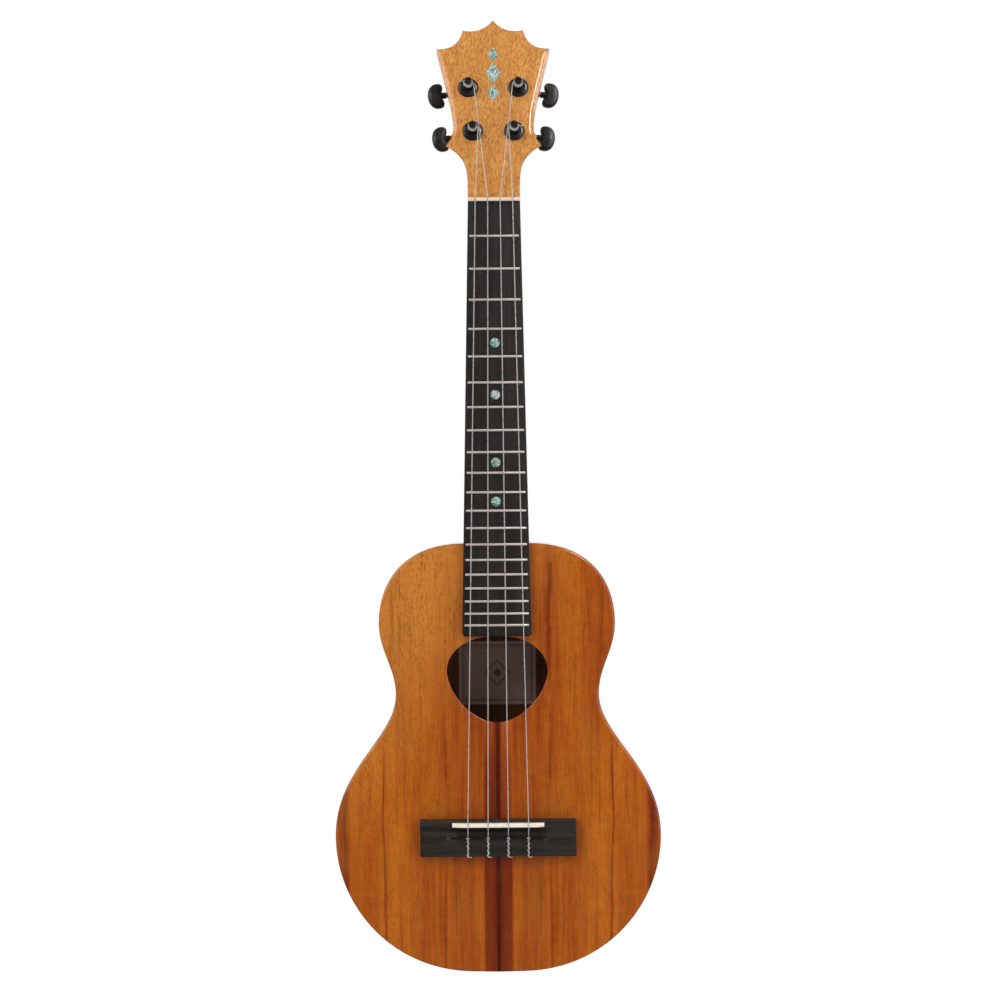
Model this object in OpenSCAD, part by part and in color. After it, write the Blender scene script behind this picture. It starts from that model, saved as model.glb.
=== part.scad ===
// Tenor ukulele: hourglass body, tie-block bridge, tilted scalloped head and sealed worm tuners.
// Everything is drawn in an instrument frame: X across, Y from the tail up the neck, Z out of the
// soundboard. place() then stands the instrument up, neck along +Z and soundboard towards -Y, with
// the origin where a hanger's yoke meets the flare of the head.

/* [Scale] */
// String length from nut to bridge, before compensation
scale_len = 432; // [426:1:436]
// Extra length at the saddle for intonation
compensation = 3; // [2:0.5:4.5]
// Number of frets
fret_count = 20; // [17:1:20]

/* [Body] */
// Length of the sound box on the centre line
body_len = 300.8; // [298:0.4:302]
// Depth of the sound box over both plates
body_depth = 68; // [60:1:76]
// Half-width of the lower bout
lower_half = 114; // [108:0.5:118]
// Half-width of the waist
waist_half = 71.2; // [68:0.2:74]
// Half-width of the upper bout
upper_half = 82.8; // [79:0.2:86]
// Thickness of the soundboard and the back
plate_t = 2; // [1.8:0.1:2.4]
// Thickness of the bent sides
side_t = 2; // [1.6:0.1:2.2]
// Half-width of the soundhole
hole_half = 35.2; // [32:0.2:36]

/* [Neck] */
// Width of the fretboard at the nut
nut_w = 36.5; // [35:0.5:38]
// Width of the fretboard at its body end
board_end_w = 48.3; // [46:0.1:50]
// Thickness of the fretboard
board_t = 5.5; // [5:0.1:6]
// Depth of the neck wood behind the fretboard at the nut
neck_depth = 14; // [13:0.5:16]
// Backward tilt of the head, degrees
head_tilt = 14; // [11:0.5:15]
// Thickness of the head with its face plate
head_t = 12; // [11:0.5:13]

/* [Bridge] */
// Length of the bridge across the body
bridge_w = 109; // [100:1:114]
// Height of the bridge above the soundboard
bridge_h = 8; // [7:0.5:9]
// Spacing of the strings at the saddle
saddle_pitch = 14.1; // [13:0.1:14.5]
// Spacing of the strings at the nut
nut_pitch = 8.7; // [8.2:0.1:9]
// Radius of a string
string_r = 0.35; // [0.3:0.05:0.4]

/* [Tuners] */
// Distance of the two lower posts from the centre line
low_post_x = 14.6; // [14.3:0.05:15]
// Distance of the two upper posts from the centre line
high_post_x = 17.65; // [17.4:0.05:18.2]
// Height of the lower posts up the head
low_post_u = 50; // [48:0.2:51]
// Height of the upper posts up the head
high_post_u = 82.9; // [80:0.1:84]
// Turn of each tuner, which sets its shaft square to the head's side, degrees
tuner_turn = 8; // [0:1:10]
// Teeth on each post gear
gear_teeth = 14; // [14:1:14]

/* [Hidden] */

$fn = 48;
far = 400;           // larger than any cut needs
skin = 0.06;         // keeps joined shapes from sharing a face

// Colours
koa = [0.72, 0.36, 0.13];
koa_side = [0.62, 0.29, 0.11];
neck_wood = [0.66, 0.38, 0.18];
ebony = [0.10, 0.07, 0.06];
spruce = [0.86, 0.74, 0.52];
bone = [0.93, 0.90, 0.82];
pearl = [0.45, 0.72, 0.66];
fret_metal = [0.78, 0.74, 0.70];
black_metal = [0.06, 0.06, 0.07];
steel = [0.55, 0.56, 0.58];
brass = [0.78, 0.62, 0.30];
clear_line = [0.86, 0.86, 0.84];
paper = [0.92, 0.90, 0.84];

// Lengths along the body
tail_flat = 18;
tail_rise = 0.35;
lower_y = 95.8;
waist_y = 194.9;
upper_y = 244.4;
shoulder_x = 24.6;
shoulder_y = body_len - 0.5;
soundhole_top = 235.4;
soundhole_wide = 211.4;
soundhole_low = 174.9;
// Ends and middle joint of each side's lower and upper halves, along the body
lower_cuts = [-1, 34, 120];
upper_cuts = [120, waist_y, body_len + 1];
glue_line = 0.04;

// Insides of the body
lining_w = 5;
lining_h = 6;
neck_block_w = 62;
neck_block_len = 24;
tail_block_w = 56;
tail_block_len = 14;
cross_brace_w = 7;
cross_brace_h = 9;
upper_brace_y = 244;
lower_brace_y = 163;
fan_w = 5;
fan_h = 6;
fan_len = 128;
fan_spacing = 15;
fan_splay = 9;        // degrees from one fan brace to the next
pad_w = 120;
pad_len = 44;
pad_low = 74;
pad_t = 2;
back_brace_w = 8;
back_brace_h = 11;
back_brace_rows = [60, 148, 238];
label_w = 56;
label_h = 46;
label_y = 205;
label_t = 0.2;

// Neck, fretboard and head
nut_t = 2.6;
nut_front = 539.1;
nut_back = nut_front + nut_t;
board_end = 235.4;
heel_drop = 58;
heel_run = 38;
heel_land = 12;
cap_t = 2;
dowel_r = 4;
dowel_len = 28;
dowel_depths = [18, 42];
head_lift = 2.5;      // height of the head's face over the soundboard at the nut
face_t = 1.6;
inlay_t = 0.8;
// Middle height, half-length and half-width of each lozenge in the head
lozenges = [[79.2, 6.2, 4.2], [94, 8, 5.4], [108.2, 5.6, 3.8]];
hang_u = 24;          // where a hanger's yoke meets the flare

// Frets and dots
fret_w = 2;
fret_h = 1;
fret_crown_r = 1.1;
fret_inset = 1.4;
tang_w = 0.5;
tang_h = 1.6;
dot_r = 3.25;
dot_t = 1.2;
side_dot_r = 1;
side_dot_t = 1.5;
dotted = [5, 7, 10, 12];

// Bridge
bridge_low = 82;
bridge_high = 107.5;
saddle_t = 3.2;
saddle_len = 64;
saddle_slot = 3.5;
saddle_y = nut_front - scale_len - compensation;
tie_front = 94.5;
hollow_end = 100.2;
hollow_half = 34;
hollow_floor = 3.6;
tie_hole_z = 5.2;
tie_hole_r = 0.9;
string_gap = 0.1;     // between a string and the winding that turns beside it
nut_string_z = 7.15;
saddle_string_z = 11.75;
post_string_w = 8.9;

// Tuners, in a frame whose Z is the post axis and whose X is the outward shaft
post_r = 2.95;
post_hole_r = 5;
run_gap = 0.05;
waist_r = 2.1;
wound_r = 3.4;
post_base_top = 5.8;
winding_low = 7.2;
winding_high = 10.6;
post_top = 14;
tail_hole_w = 12;      // the string's tail leaves the post here, over the other strings
tail_hole_r = 0.45;
slot_w = 1;
slot_deep = 0.9;
bushing_r = 7.2;
bushing_sleeve = 6;
worm_drop = 6.5;      // depth of the shaft axis behind the head
centre_gap = 4.6;     // between the post axis and the shaft axis
gear_pitch_r = 3.1;
gear_tip_r = 3.4;
gear_root_r = 2.5;
gear_half = 1.4;
gear_bore_r = 2;
worm_pitch = 2 * PI * gear_pitch_r / gear_teeth;
worm_root_r = 0.95;
worm_tip_r = 1.85;
journal_r = 1.9;
collar_r = 2.8;
collar_end = 14.4;
shaft_end = 21;
shaft_tip_r = 1.5;
worm_back = 6.3;      // how far the worm reaches behind the post axis
worm_front = 4.8;     // where the worm ends and the journal starts
boss_start = collar_end + 1.2;
case_depth = 9.4;
case_floor = 1.6;
cover_t = 1.2;
case_x = [-7.2, 7.6];
case_u = [-5.8, 8.4];
case_corner_r = 2;
ear_u = -10;
ear_r = 3;
screw_r = 1.1;
screw_len = 8;
button_half_t = 3.2;
button_boss_r = 2.5;

// Each tuner's string, side and row
tuners = [["g", -1, 0], ["c", -1, 1], ["e", 1, 1], ["a", 1, 0]];

// ---------- curves ----------

function bez(p, t) = pow(1 - t, 3) * p[0] + 3 * pow(1 - t, 2) * t * p[1]
    + 3 * (1 - t) * t * t * p[2] + pow(t, 3) * p[3];
function bez_run(p, n) = [for (i = [1:n]) bez(p, i / n)];
function reversed(pts) = [for (i = [len(pts) - 1:-1:0]) pts[i]];
function flipped(pts) = [for (p = pts) [-p.x, p.y]];

// Points along one side, from the centre line at the tail to the centre line at the neck
half_body = concat(
    [[0, 0], [tail_flat, tail_rise]],
    bez_run([[tail_flat, tail_rise], [75, 1.1], [lower_half, 46.4], [lower_half, lower_y]], 12),
    bez_run([[lower_half, lower_y], [lower_half, 143.2], [waist_half, 164.2],
        [waist_half, waist_y]], 11),
    bez_run([[waist_half, waist_y], [waist_half, 212.9], [upper_half, 225.4],
        [upper_half, upper_y]], 6),
    bez_run([[upper_half, upper_y], [upper_half, 271.7], [67.4, shoulder_y - 0.9],
        [shoulder_x, shoulder_y]], 10),
    [[0, body_len]]);

// Unit tangent at a point of a half outline; the two ends run straight across
function tangent(pts, i) =
    i == 0 ? [1, 0] :
    i == len(pts) - 1 ? [-1, 0] :
    (pts[i + 1] - pts[i - 1]) / norm(pts[i + 1] - pts[i - 1]);

// The half outline moved inwards by d
function inset(pts, d) = [for (i = [0:len(pts) - 1])
    let (t = tangent(pts, i)) [max(0, pts[i].x - d * t.y), pts[i].y + d * t.x]];

function whole(pts) = concat(pts, reversed(flipped([for (i = [1:len(pts) - 2]) pts[i]])));

// Soundhole, an egg that is widest near its upper end
half_hole = concat(
    [[0, soundhole_low]],
    bez_run([[0, soundhole_low], [16.9, soundhole_low], [hole_half, 195.1],
        [hole_half, soundhole_wide]], 10),
    bez_run([[hole_half, soundhole_wide], [hole_half, 221.6], [25, soundhole_top],
        [0, soundhole_top]], 9));

// Arc from a to b that bulges by sag to the left of that direction
function arc_run(a, b, sag, n) = [for (i = [1:n])
    let (t = i / n, d = b - a, nrm = [-d.y, d.x] / norm(d))
        a + t * d + 4 * sag * t * (1 - t) * nrm];

// Right half of the head, from the nut up to the tip: flare, spur, long side, two scallops
half_head = concat(
    [[nut_w / 2, 0], [18.4, 12]],
    bez_run([[18.4, 12], [18.6, 22], [19.5, 31.5], [33.5, 39.3]], 6),
    arc_run([33.5, 39.3], [28.4, 52.6], 1.2, 4),
    bez_run([[28.4, 52.6], [28.4, 66], [31, 74], [40.2, 113.2]], 5),
    arc_run([40.2, 113.2], [21.5, 127.5], 5, 6),
    arc_run([21.5, 127.5], [0, 135.2], 3.6, 6));

// One half of a tuner button's bean outline, from its outer edge round to its hollow side
half_bean = concat(
    [[28.7, 0]],
    bez_run([[28.7, 0], [28.7, 5.6], [25.9, 9.2], [21.6, 9.2]], 5),
    bez_run([[21.6, 9.2], [18.9, 9.2], [17.4, 8.2], [17.4, 5.8]], 4),
    bez_run([[17.4, 5.8], [17.4, 3.8], [18.8, 3], [18.8, 0]], 4));
bean = concat(half_bean,
    reversed([for (i = [1:len(half_bean) - 2]) [half_bean[i].x, -half_bean[i].y]]));

// ---------- frames ----------

function head_point(x, u, w) = [x, nut_back + u * cos(head_tilt) + w * sin(head_tilt),
    head_lift - u * sin(head_tilt) + w * cos(head_tilt)];
hang = head_point(0, hang_u, -head_t / 2);

module place() {
    translate([0, hang.z, -hang.y]) rotate([90, 0, 0]) children();
}

// Z = 0 is the head's face, Y runs up the head from the nut
module in_head() {
    translate([0, nut_back, head_lift]) rotate([-head_tilt, 0, 0]) children();
}

function post_x(t) = t[2] == 0 ? low_post_x : high_post_x;
function post_u(t) = t[2] == 0 ? low_post_u : high_post_u;

// X points outwards from the post towards the button
module in_tuner(t) {
    in_head() translate([t[1] * post_x(t), post_u(t), 0])
        mirror([t[1] < 0 ? 1 : 0, 0, 0]) rotate([0, 0, -tuner_turn]) children();
}

// Z from the shaft's axis plane
module in_shaft(t) {
    in_tuner(t) translate([0, centre_gap, -head_t - worm_drop]) children();
}

module slab(pts, z0, z1) {
    translate([0, 0, z0]) linear_extrude(height = z1 - z0) polygon(pts);
}

// ---------- sound box ----------

inner_half = inset(half_body, side_t);
lining_half = inset(half_body, side_t + lining_w);

module soundboard() {
    color(koa) place() difference() {
        slab(whole(half_body), -plate_t, 0);
        slab(whole(half_hole), -plate_t - 1, 1);
    }
}

module back_plate() {
    color(koa) place() slab(whole(half_body), -body_depth, -body_depth + plate_t);
}

module dowel_holes() {
    for (z = dowel_depths)
        translate([0, body_len - dowel_len / 2, -z]) rotate([-90, 0, 0])
            cylinder(r = dowel_r, h = dowel_len);
}

// Half of a bent side: two lengths glued end to end, between three cuts
module side(dir, cuts) {
    color(koa_side) place() difference() {
        mirror([dir < 0 ? 1 : 0, 0, 0])
            slab(concat(half_body, reversed(inner_half)), -body_depth + plate_t, -plate_t);
        translate([-far / 2, cuts[0] - far, -far / 2]) cube([far, far, far]);
        translate([-far / 2, cuts[1] - glue_line / 2, -far / 2]) cube([far, glue_line, far]);
        translate([-far / 2, cuts[2], -far / 2]) cube([far, far, far]);
        dowel_holes();
    }
}

module block_box(w, y0, y1) {
    translate([-w / 2, y0, -body_depth + plate_t])
        cube([w, y1 - y0, body_depth - 2 * plate_t]);
}

module neck_block_box() {
    block_box(neck_block_w, body_len - side_t - neck_block_len, body_len);
}

module tail_block_box() {
    block_box(tail_block_w, 0, side_t + tail_block_len);
}

module neck_block() {
    color(spruce) place() difference() {
        intersection() {
            neck_block_box();
            slab(whole(inner_half), -body_depth, 0);
        }
        dowel_holes();
    }
}

module tail_block() {
    color(spruce) place() intersection() {
        tail_block_box();
        slab(whole(inner_half), -body_depth, 0);
    }
}

module linings() {
    color(spruce) place() difference() {
        for (z = [-plate_t - lining_h, -body_depth + plate_t])
            for (dir = [0, 1])
                mirror([dir, 0, 0])
                    slab(concat(inner_half, reversed(lining_half)), z, z + lining_h);
        neck_block_box();
        tail_block_box();
    }
}

// Bar across the body with its ends cut down, trimmed to the space inside the linings
module cross_bar(y, w, h, z, up) {
    end_h = h / 3;
    shoulder = 22;
    intersection() {
        translate([0, y + w, z]) rotate([90, 0, 0]) linear_extrude(height = w) polygon([
            [-lower_half, 0], [lower_half, 0], [lower_half, up * end_h],
            [lower_half - shoulder, up * h], [shoulder - lower_half, up * h],
            [-lower_half, up * end_h]]);
        slab(whole(lining_half), -body_depth, 0);
    }
}

module cross_braces() {
    color(spruce) place()
        for (y = [lower_brace_y, upper_brace_y])
            cross_bar(y, cross_brace_w, cross_brace_h, -plate_t, -1);
}

module pad_box() {
    translate([-pad_w / 2, pad_low, -plate_t - pad_t]) cube([pad_w, pad_len, pad_t]);
}

module bridge_plate() {
    color(spruce) place() pad_box();
}

module fan_braces() {
    taper = 24;
    toe_h = 1;
    stagger = 0.9;    // each outer brace starts this much further from the cross brace
    color(spruce) place() difference() {
        for (i = [-2:2])
            translate([i * fan_spacing, lower_brace_y, -plate_t])
                rotate([0, 0, 180 + i * fan_splay]) rotate([90, 0, 90])
                    linear_extrude(height = fan_w, center = true) polygon([
                        [abs(i) * stagger, 0], [fan_len, 0], [fan_len, -toe_h],
                        [fan_len - taper, -fan_h], [abs(i) * stagger, -fan_h]]);
        pad_box();
        translate([-far / 2, lower_brace_y, -body_depth])
            cube([far, cross_brace_w, body_depth]);
    }
}

module back_braces() {
    color(spruce) place()
        for (y = back_brace_rows)
            cross_bar(y, back_brace_w, back_brace_h, -body_depth + plate_t, 1);
}

module label() {
    color(paper) place()
        translate([-label_w / 2, label_y - label_h / 2, -body_depth + plate_t])
            cube([label_w, label_h, label_t]);
}

// ---------- neck and head ----------

// Half-width of the fretboard at a distance from the tail
function board_half(y) = (nut_w + (board_end_w - nut_w) * (nut_front - y)
    / (nut_front - board_end)) / 2;

// Points of a D-shaped cross-section: flat on top, a little over the glue line, rounded below
function neck_ring(y, depth) = let (hw = board_half(y)) concat(
    [[hw, y, 1]],
    [for (a = [0:15:180]) let (c = cos(a))
        [hw * sign(c) * pow(abs(c), 0.9), y, -depth * pow(sin(a), 0.85)]],
    [[-hw, y, 1]]);

// Depth of the neck along the instrument, with the heel's hollow sweep
heel_front = body_len + heel_land;
neck_deep = neck_depth + 1.5;
neck_stations = concat(
    [for (i = [0:5]) let (t = i / 5)
        [nut_back - t * (nut_back - heel_front - heel_run), neck_depth + t * 1.5]],
    [for (a = [10:10:90])
        [heel_front + heel_run * (1 - sin(a)), neck_deep + heel_drop * (1 - cos(a))]],
    [[body_len - 12, neck_deep + heel_drop]]);

module ring_skin(rings) {
    n = len(rings[0]);
    last = len(rings) - 1;
    points = [for (r = rings) for (p = r) p];
    sides = [for (k = [0:last - 1]) for (i = [0:n - 1])
        let (j = (i + 1) % n, a = k * n, b = (k + 1) * n)
            each [[a + i, a + j, b + j], [a + i, b + j, b + i]]];
    ends = [[for (i = [n - 1:-1:0]) i], [for (i = [0:n - 1]) last * n + i]];
    polyhedron(points = points, faces = concat(sides, ends));
}

module neck_shaft() {
    ring_skin([for (s = neck_stations) neck_ring(s[0], s[1])]);
}

// Wood that turns the round neck into the flat head
module neck_to_head() {
    hull() {
        ring_skin([neck_ring(nut_front - 16, neck_depth), neck_ring(nut_front - 15, neck_depth)]);
        in_head() translate([skin - nut_w / 2, 0, skin - head_t])
            cube([nut_w - 2 * skin, 4, head_t - face_t - 2 * skin]);
    }
}

module post_holes(r) {
    for (t = tuners)
        in_tuner(t) translate([0, 0, -head_t - 1]) cylinder(r = r, h = head_t + 2);
}

module screw_holes() {
    for (t = tuners)
        in_tuner(t) translate([0, ear_u, -head_t - case_floor])
            cylinder(r = screw_r, h = screw_len);
}

// Room for the fretboard and the nut above the neck wood
module nut_room() {
    translate([-far / 2, nut_back - far, 0]) cube([far, far, far]);
}

module neck() {
    color(neck_wood) place() difference() {
        union() {
            neck_shaft();
            neck_to_head();
            in_head() slab(whole_head(), -head_t, -face_t);
        }
        slab(whole(half_body), -body_depth - 10, 5);
        translate([-far / 2, 0, -body_depth - far + cap_t]) cube([far, far, far]);
        nut_room();
        post_holes(post_hole_r);
        screw_holes();
        dowel_holes();
    }
}

function whole_head() = concat(half_head,
    reversed(flipped([for (i = [0:len(half_head) - 2]) half_head[i]])));

module heel_cap() {
    color(ebony) place() difference() {
        intersection() {
            neck_shaft();
            translate([-far / 2, 0, -body_depth]) cube([far, far, cap_t]);
        }
        slab(whole(half_body), -body_depth - 10, 5);
    }
}

module neck_dowels() {
    color(spruce) place() dowel_holes();
}

// A chain of lozenges up the middle of the head
module inlay_shapes(z0, z1) {
    for (s = lozenges)
        slab([[0, s[0] - s[1]], [s[2], s[0]], [0, s[0] + s[1]], [-s[2], s[0]]], z0, z1);
}

module head_faceplate() {
    color(koa) place() difference() {
        in_head() slab(whole_head(), -face_t, 0);
        nut_room();
        post_holes(post_hole_r);
        in_head() inlay_shapes(-inlay_t, 1);
    }
}

module head_inlay() {
    color(pearl) place() in_head() inlay_shapes(-inlay_t, 0);
}

function string_x(t, pitch) = t[1] * pitch * (t[2] == 0 ? 1.5 : 0.5);

module nut() {
    nut_h = board_t + 2;
    color(bone) place() difference() {
        translate([-nut_w / 2, nut_front, 0]) cube([nut_w, nut_t, nut_h]);
        for (t = tuners)
            translate([string_x(t, nut_pitch), nut_front - 1, nut_string_z])
                rotate([-90, 0, 0]) cylinder(r = string_r + 0.1, h = nut_t + 2, $fn = 16);
        for (t = tuners)
            translate([string_x(t, nut_pitch) - string_r - 0.1, nut_front - 1, nut_string_z])
                cube([2 * string_r + 0.2, nut_t + 2, 2]);
    }
}

// ---------- fretboard ----------

function fret_y(n) = nut_front - scale_len * (1 - pow(2, -n / 12));

module fret_slots() {
    for (n = [1:fret_count])
        translate([-far / 2, fret_y(n) - tang_w / 2, board_t - tang_h]) cube([far, tang_w, far]);
}

// Dots, or with extra length the pockets that they are set in
module dot_cylinders(extra) {
    for (n = dotted)
        translate([0, (fret_y(n) + fret_y(n - 1)) / 2, board_t - dot_t])
            cylinder(r = dot_r, h = dot_t + extra);
}

module side_dot_cylinders(extra) {
    for (n = dotted) {
        y = (fret_y(n) + fret_y(n - 1)) / 2;
        translate([side_dot_t - board_half(y), y, board_t / 2]) rotate([0, -90, 0])
            cylinder(r = side_dot_r, h = side_dot_t + extra, $fn = 24);
    }
}

module fretboard() {
    corner = 4;
    w = board_half(board_end);
    color(ebony) place() difference() {
        slab([[-nut_w / 2, nut_front], [-w, board_end + corner], [-w + corner / 3,
            board_end + corner / 3], [-w + corner, board_end], [w - corner, board_end],
            [w - corner / 3, board_end + corner / 3], [w, board_end + corner],
            [nut_w / 2, nut_front]], 0, board_t);
        fret_slots();
        dot_cylinders(1);
        side_dot_cylinders(1);
    }
}

module fret(n) {
    half = board_half(fret_y(n)) - fret_inset;
    translate([-half, fret_y(n), board_t]) rotate([90, 0, 90]) linear_extrude(height = 2 * half) {
        intersection() {
            translate([0, fret_h - fret_crown_r]) circle(r = fret_crown_r, $fn = 32);
            translate([-fret_w / 2, 0]) square([fret_w, fret_h]);
        }
        translate([-tang_w / 2, -tang_h]) square([tang_w, tang_h + 0.01]);
    }
}

module frets() {
    color(fret_metal) place() for (n = [1:fret_count]) fret(n);
}

module position_dots() {
    color(pearl) place() dot_cylinders(0);
}

module side_dots() {
    color(bone) place() side_dot_cylinders(0);
}

// ---------- bridge and strings ----------

module bridge() {
    ramp = 1.2;
    color(ebony) place() difference() {
        translate([-bridge_w / 2, 0, 0]) rotate([90, 0, 90]) linear_extrude(height = bridge_w)
            polygon([[bridge_low, 0], [bridge_high, 0], [bridge_high, bridge_h - ramp],
                [bridge_high - ramp, bridge_h], [bridge_low + ramp, bridge_h],
                [bridge_low, bridge_h - ramp]]);
        translate([-hollow_half, tie_front, hollow_floor])
            cube([2 * hollow_half, hollow_end - tie_front, bridge_h]);
        translate([-saddle_len / 2, saddle_y - saddle_t / 2, bridge_h - saddle_slot])
            cube([saddle_len, saddle_t, bridge_h]);
        for (t = tuners)
            translate([string_x(t, saddle_pitch), tie_front + 1, tie_hole_z])
                rotate([90, 0, 0]) cylinder(r = tie_hole_r, h = tie_front - bridge_low + 2, $fn = 24);
    }
}

module saddle() {
    top = saddle_string_z - string_r;
    ramp = 4;
    half = saddle_len / 2;
    color(bone) place() translate([0, saddle_y + saddle_t / 2, 0]) rotate([90, 0, 0])
        linear_extrude(height = saddle_t) polygon([[-half, bridge_h - saddle_slot],
            [half, bridge_h - saddle_slot], [half, bridge_h + 0.8], [half - ramp, top],
            [ramp - half, top], [-half, bridge_h + 0.8]]);
}

// Route of one string: winding, nut, saddle, through the tie block and back over it
function string_route(t) =
    let (xs = string_x(t, saddle_pitch),
        off = wound_r + string_r + string_gap,
        over = bridge_h + string_r)
    [head_point(t[1] * (post_x(t) - off), post_u(t), post_string_w),
        [string_x(t, nut_pitch), nut_back, nut_string_z],
        [string_x(t, nut_pitch), nut_front, nut_string_z],
        [xs, saddle_y + saddle_t / 2, saddle_string_z],
        [xs, saddle_y - saddle_t / 2 - 0.2, saddle_string_z],
        [xs, tie_front, tie_hole_z],
        [xs, bridge_low - 0.6, tie_hole_z],
        [xs, bridge_low - 0.6, over - 0.6],
        [xs, bridge_low + 1, over],
        [xs, tie_front - 1, over]];

// Ring of a swept tube at point i, mitred between the two runs that meet there
function tube_ring(route, i, r) =
    let (last = len(route) - 1,
        before = route[max(i, 1)] - route[max(i, 1) - 1],
        after = route[min(i, last - 1) + 1] - route[min(i, last - 1)],
        u = before / norm(before), v = after / norm(after),
        along = (u + v) / norm(u + v),
        up = cross([1, 0, 0], along) / norm(cross([1, 0, 0], along)),
        mitre = 1 / max(0.5, along * u))
    [for (a = [0:45:315]) route[i] + r * (cos(a) * [1, 0, 0] + mitre * sin(a) * up)];

module string_line(t) {
    route = string_route(t);
    color(clear_line) place()
        ring_skin([for (i = [0:len(route) - 1]) tube_ring(route, i, string_r)]);
}

// ---------- tuners ----------

module bushing(t) {
    rim_t = 0.7;
    lip_r = 4.7;
    lip_h = 2.5;
    color(black_metal) place() in_tuner(t) rotate_extrude() polygon([
        [post_r + run_gap, -bushing_sleeve], [post_hole_r, -bushing_sleeve], [post_hole_r, 0],
        [bushing_r, 0], [bushing_r, rim_t], [bushing_r - 0.8, 1.3], [lip_r + 0.3, 1.6],
        [lip_r, lip_h], [post_r + run_gap, lip_h]]);
}

module post(t) {
    bottom = -head_t - worm_drop - gear_half - 0.6;
    shoulder = -head_t - worm_drop + gear_half;
    crown_r = 2.6;
    color(black_metal) place() in_tuner(t) difference() {
        rotate_extrude() polygon([[0, bottom], [gear_bore_r, bottom], [gear_bore_r, shoulder],
            [post_r, shoulder], [post_r, post_base_top], [waist_r, winding_low - 0.4],
            [waist_r, winding_high + 0.3], [crown_r, winding_high + 0.8],
            [crown_r, post_top - 0.6], [crown_r - 0.6, post_top], [0, post_top]]);
        translate([-5, 0, tail_hole_w]) rotate([0, 90, 0])
            cylinder(r = tail_hole_r, h = 10, $fn = 16);
        translate([-5, -slot_w / 2, post_top - slot_deep]) cube([10, slot_w, 3]);
    }
}

module winding(t) {
    color(clear_line) place() in_tuner(t) rotate_extrude() polygon([
        [waist_r, winding_low], [wound_r, winding_low], [wound_r, winding_high],
        [waist_r, winding_high]]);
}

// Straight-sided teeth, one of them pointing at the worm
module gear(t) {
    step = 360 / gear_teeth;
    tip = 2.5;
    root = 6.6;
    color(brass) place() in_tuner(t) translate([0, 0, -head_t - worm_drop - gear_half])
        linear_extrude(height = 2 * gear_half) difference() {
            polygon([for (i = [0:gear_teeth - 1])
                each [for (e = [[gear_root_r, -root], [gear_tip_r, -tip], [gear_tip_r, tip],
                    [gear_root_r, root]])
                    e[0] * [cos(90 - i * step - e[1]), sin(90 - i * step - e[1])]]]);
            circle(r = gear_bore_r);
        }
}

// Worm thread as one swept ridge
module worm_thread() {
    per_turn = 12;
    turns = 5;
    root_half = 0.3;
    tip_half = 0.15;
    inner = worm_root_r - 0.15;
    section = [[-root_half, inner], [-tip_half, worm_tip_r], [tip_half, worm_tip_r],
        [root_half, inner]];
    ring_skin([for (k = [-turns * per_turn / 2:turns * per_turn / 2])
        let (a = k * 360 / per_turn, x = worm_pitch * k / per_turn)
            [for (s = section) [x + s[0], s[1] * cos(a), s[1] * sin(a)]]]);
}

module worm_shaft(t) {
    color(steel) place() in_shaft(t) {
        rotate([0, 90, 0]) rotate_extrude() polygon([
            [0, -worm_back], [worm_root_r, -worm_back], [worm_root_r, worm_front],
            [journal_r, worm_front], [journal_r, boss_start], [shaft_tip_r, boss_start],
            [shaft_tip_r, shaft_end], [0, shaft_end]]);
        worm_thread();
    }
}

module button(t) {
    color(black_metal) place() in_shaft(t) difference() {
        union() {
            slab(bean, -button_half_t, button_half_t);
            translate([boss_start, 0, 0]) rotate([0, 90, 0])
                cylinder(r = button_boss_r, h = shaft_end - boss_start);
        }
        translate([boss_start - 1, 0, 0]) rotate([0, 90, 0])
            cylinder(r = shaft_tip_r, h = shaft_end - boss_start + 1);
    }
}

// Rounded rectangle as a point list
function round_rect(x, y, r) = [for (c = [[x[1] - r, y[1] - r, 0], [x[0] + r, y[1] - r, 90],
    [x[0] + r, y[0] + r, 180], [x[1] - r, y[0] + r, 270]])
    for (a = [0:30:90]) [c[0] + r * cos(c[2] + a), c[1] + r * sin(c[2] + a)]];

module housing(t) {
    collar_start = 5;
    worm_room = [-5, worm_front];
    color(black_metal) place() in_tuner(t) difference() {
        union() {
            slab(round_rect(case_x, case_u, case_corner_r), -head_t - case_depth, -head_t);
            translate([0, ear_u, -head_t - case_floor]) cylinder(r = ear_r, h = case_floor);
            translate([-ear_r, ear_u, -head_t - case_floor])
                cube([2 * ear_r, case_u[0] - ear_u + 1, case_floor]);
            translate([collar_start, centre_gap, -head_t - worm_drop]) rotate([0, 90, 0])
                cylinder(r = collar_r, h = collar_end - collar_start);
        }
        translate([0, 0, -head_t - case_floor - 1])
            cylinder(r = post_r + run_gap, h = case_floor + 2);
        translate([0, 0, -head_t - case_depth - 1])
            cylinder(r = gear_tip_r + 0.6, h = case_depth - case_floor + 1);
        translate([worm_room[0], centre_gap, -head_t - worm_drop]) rotate([0, 90, 0])
            cylinder(r = worm_tip_r + 0.4, h = worm_room[1] - worm_room[0]);
        translate([0, centre_gap, -head_t - worm_drop]) rotate([0, 90, 0])
            cylinder(r = journal_r + run_gap, h = far);
        translate([-worm_back - 0.1, centre_gap, -head_t - worm_drop]) rotate([0, 90, 0])
            cylinder(r = worm_root_r + run_gap, h = worm_back);
        translate([0, ear_u, -head_t - case_floor - 1]) cylinder(r = screw_r, h = case_floor + 2);
    }
}

module tuner_covers() {
    color(black_metal) place() for (t = tuners)
        in_tuner(t) slab(round_rect(case_x, case_u, case_corner_r),
            -head_t - case_depth - cover_t, -head_t - case_depth);
}

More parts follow.
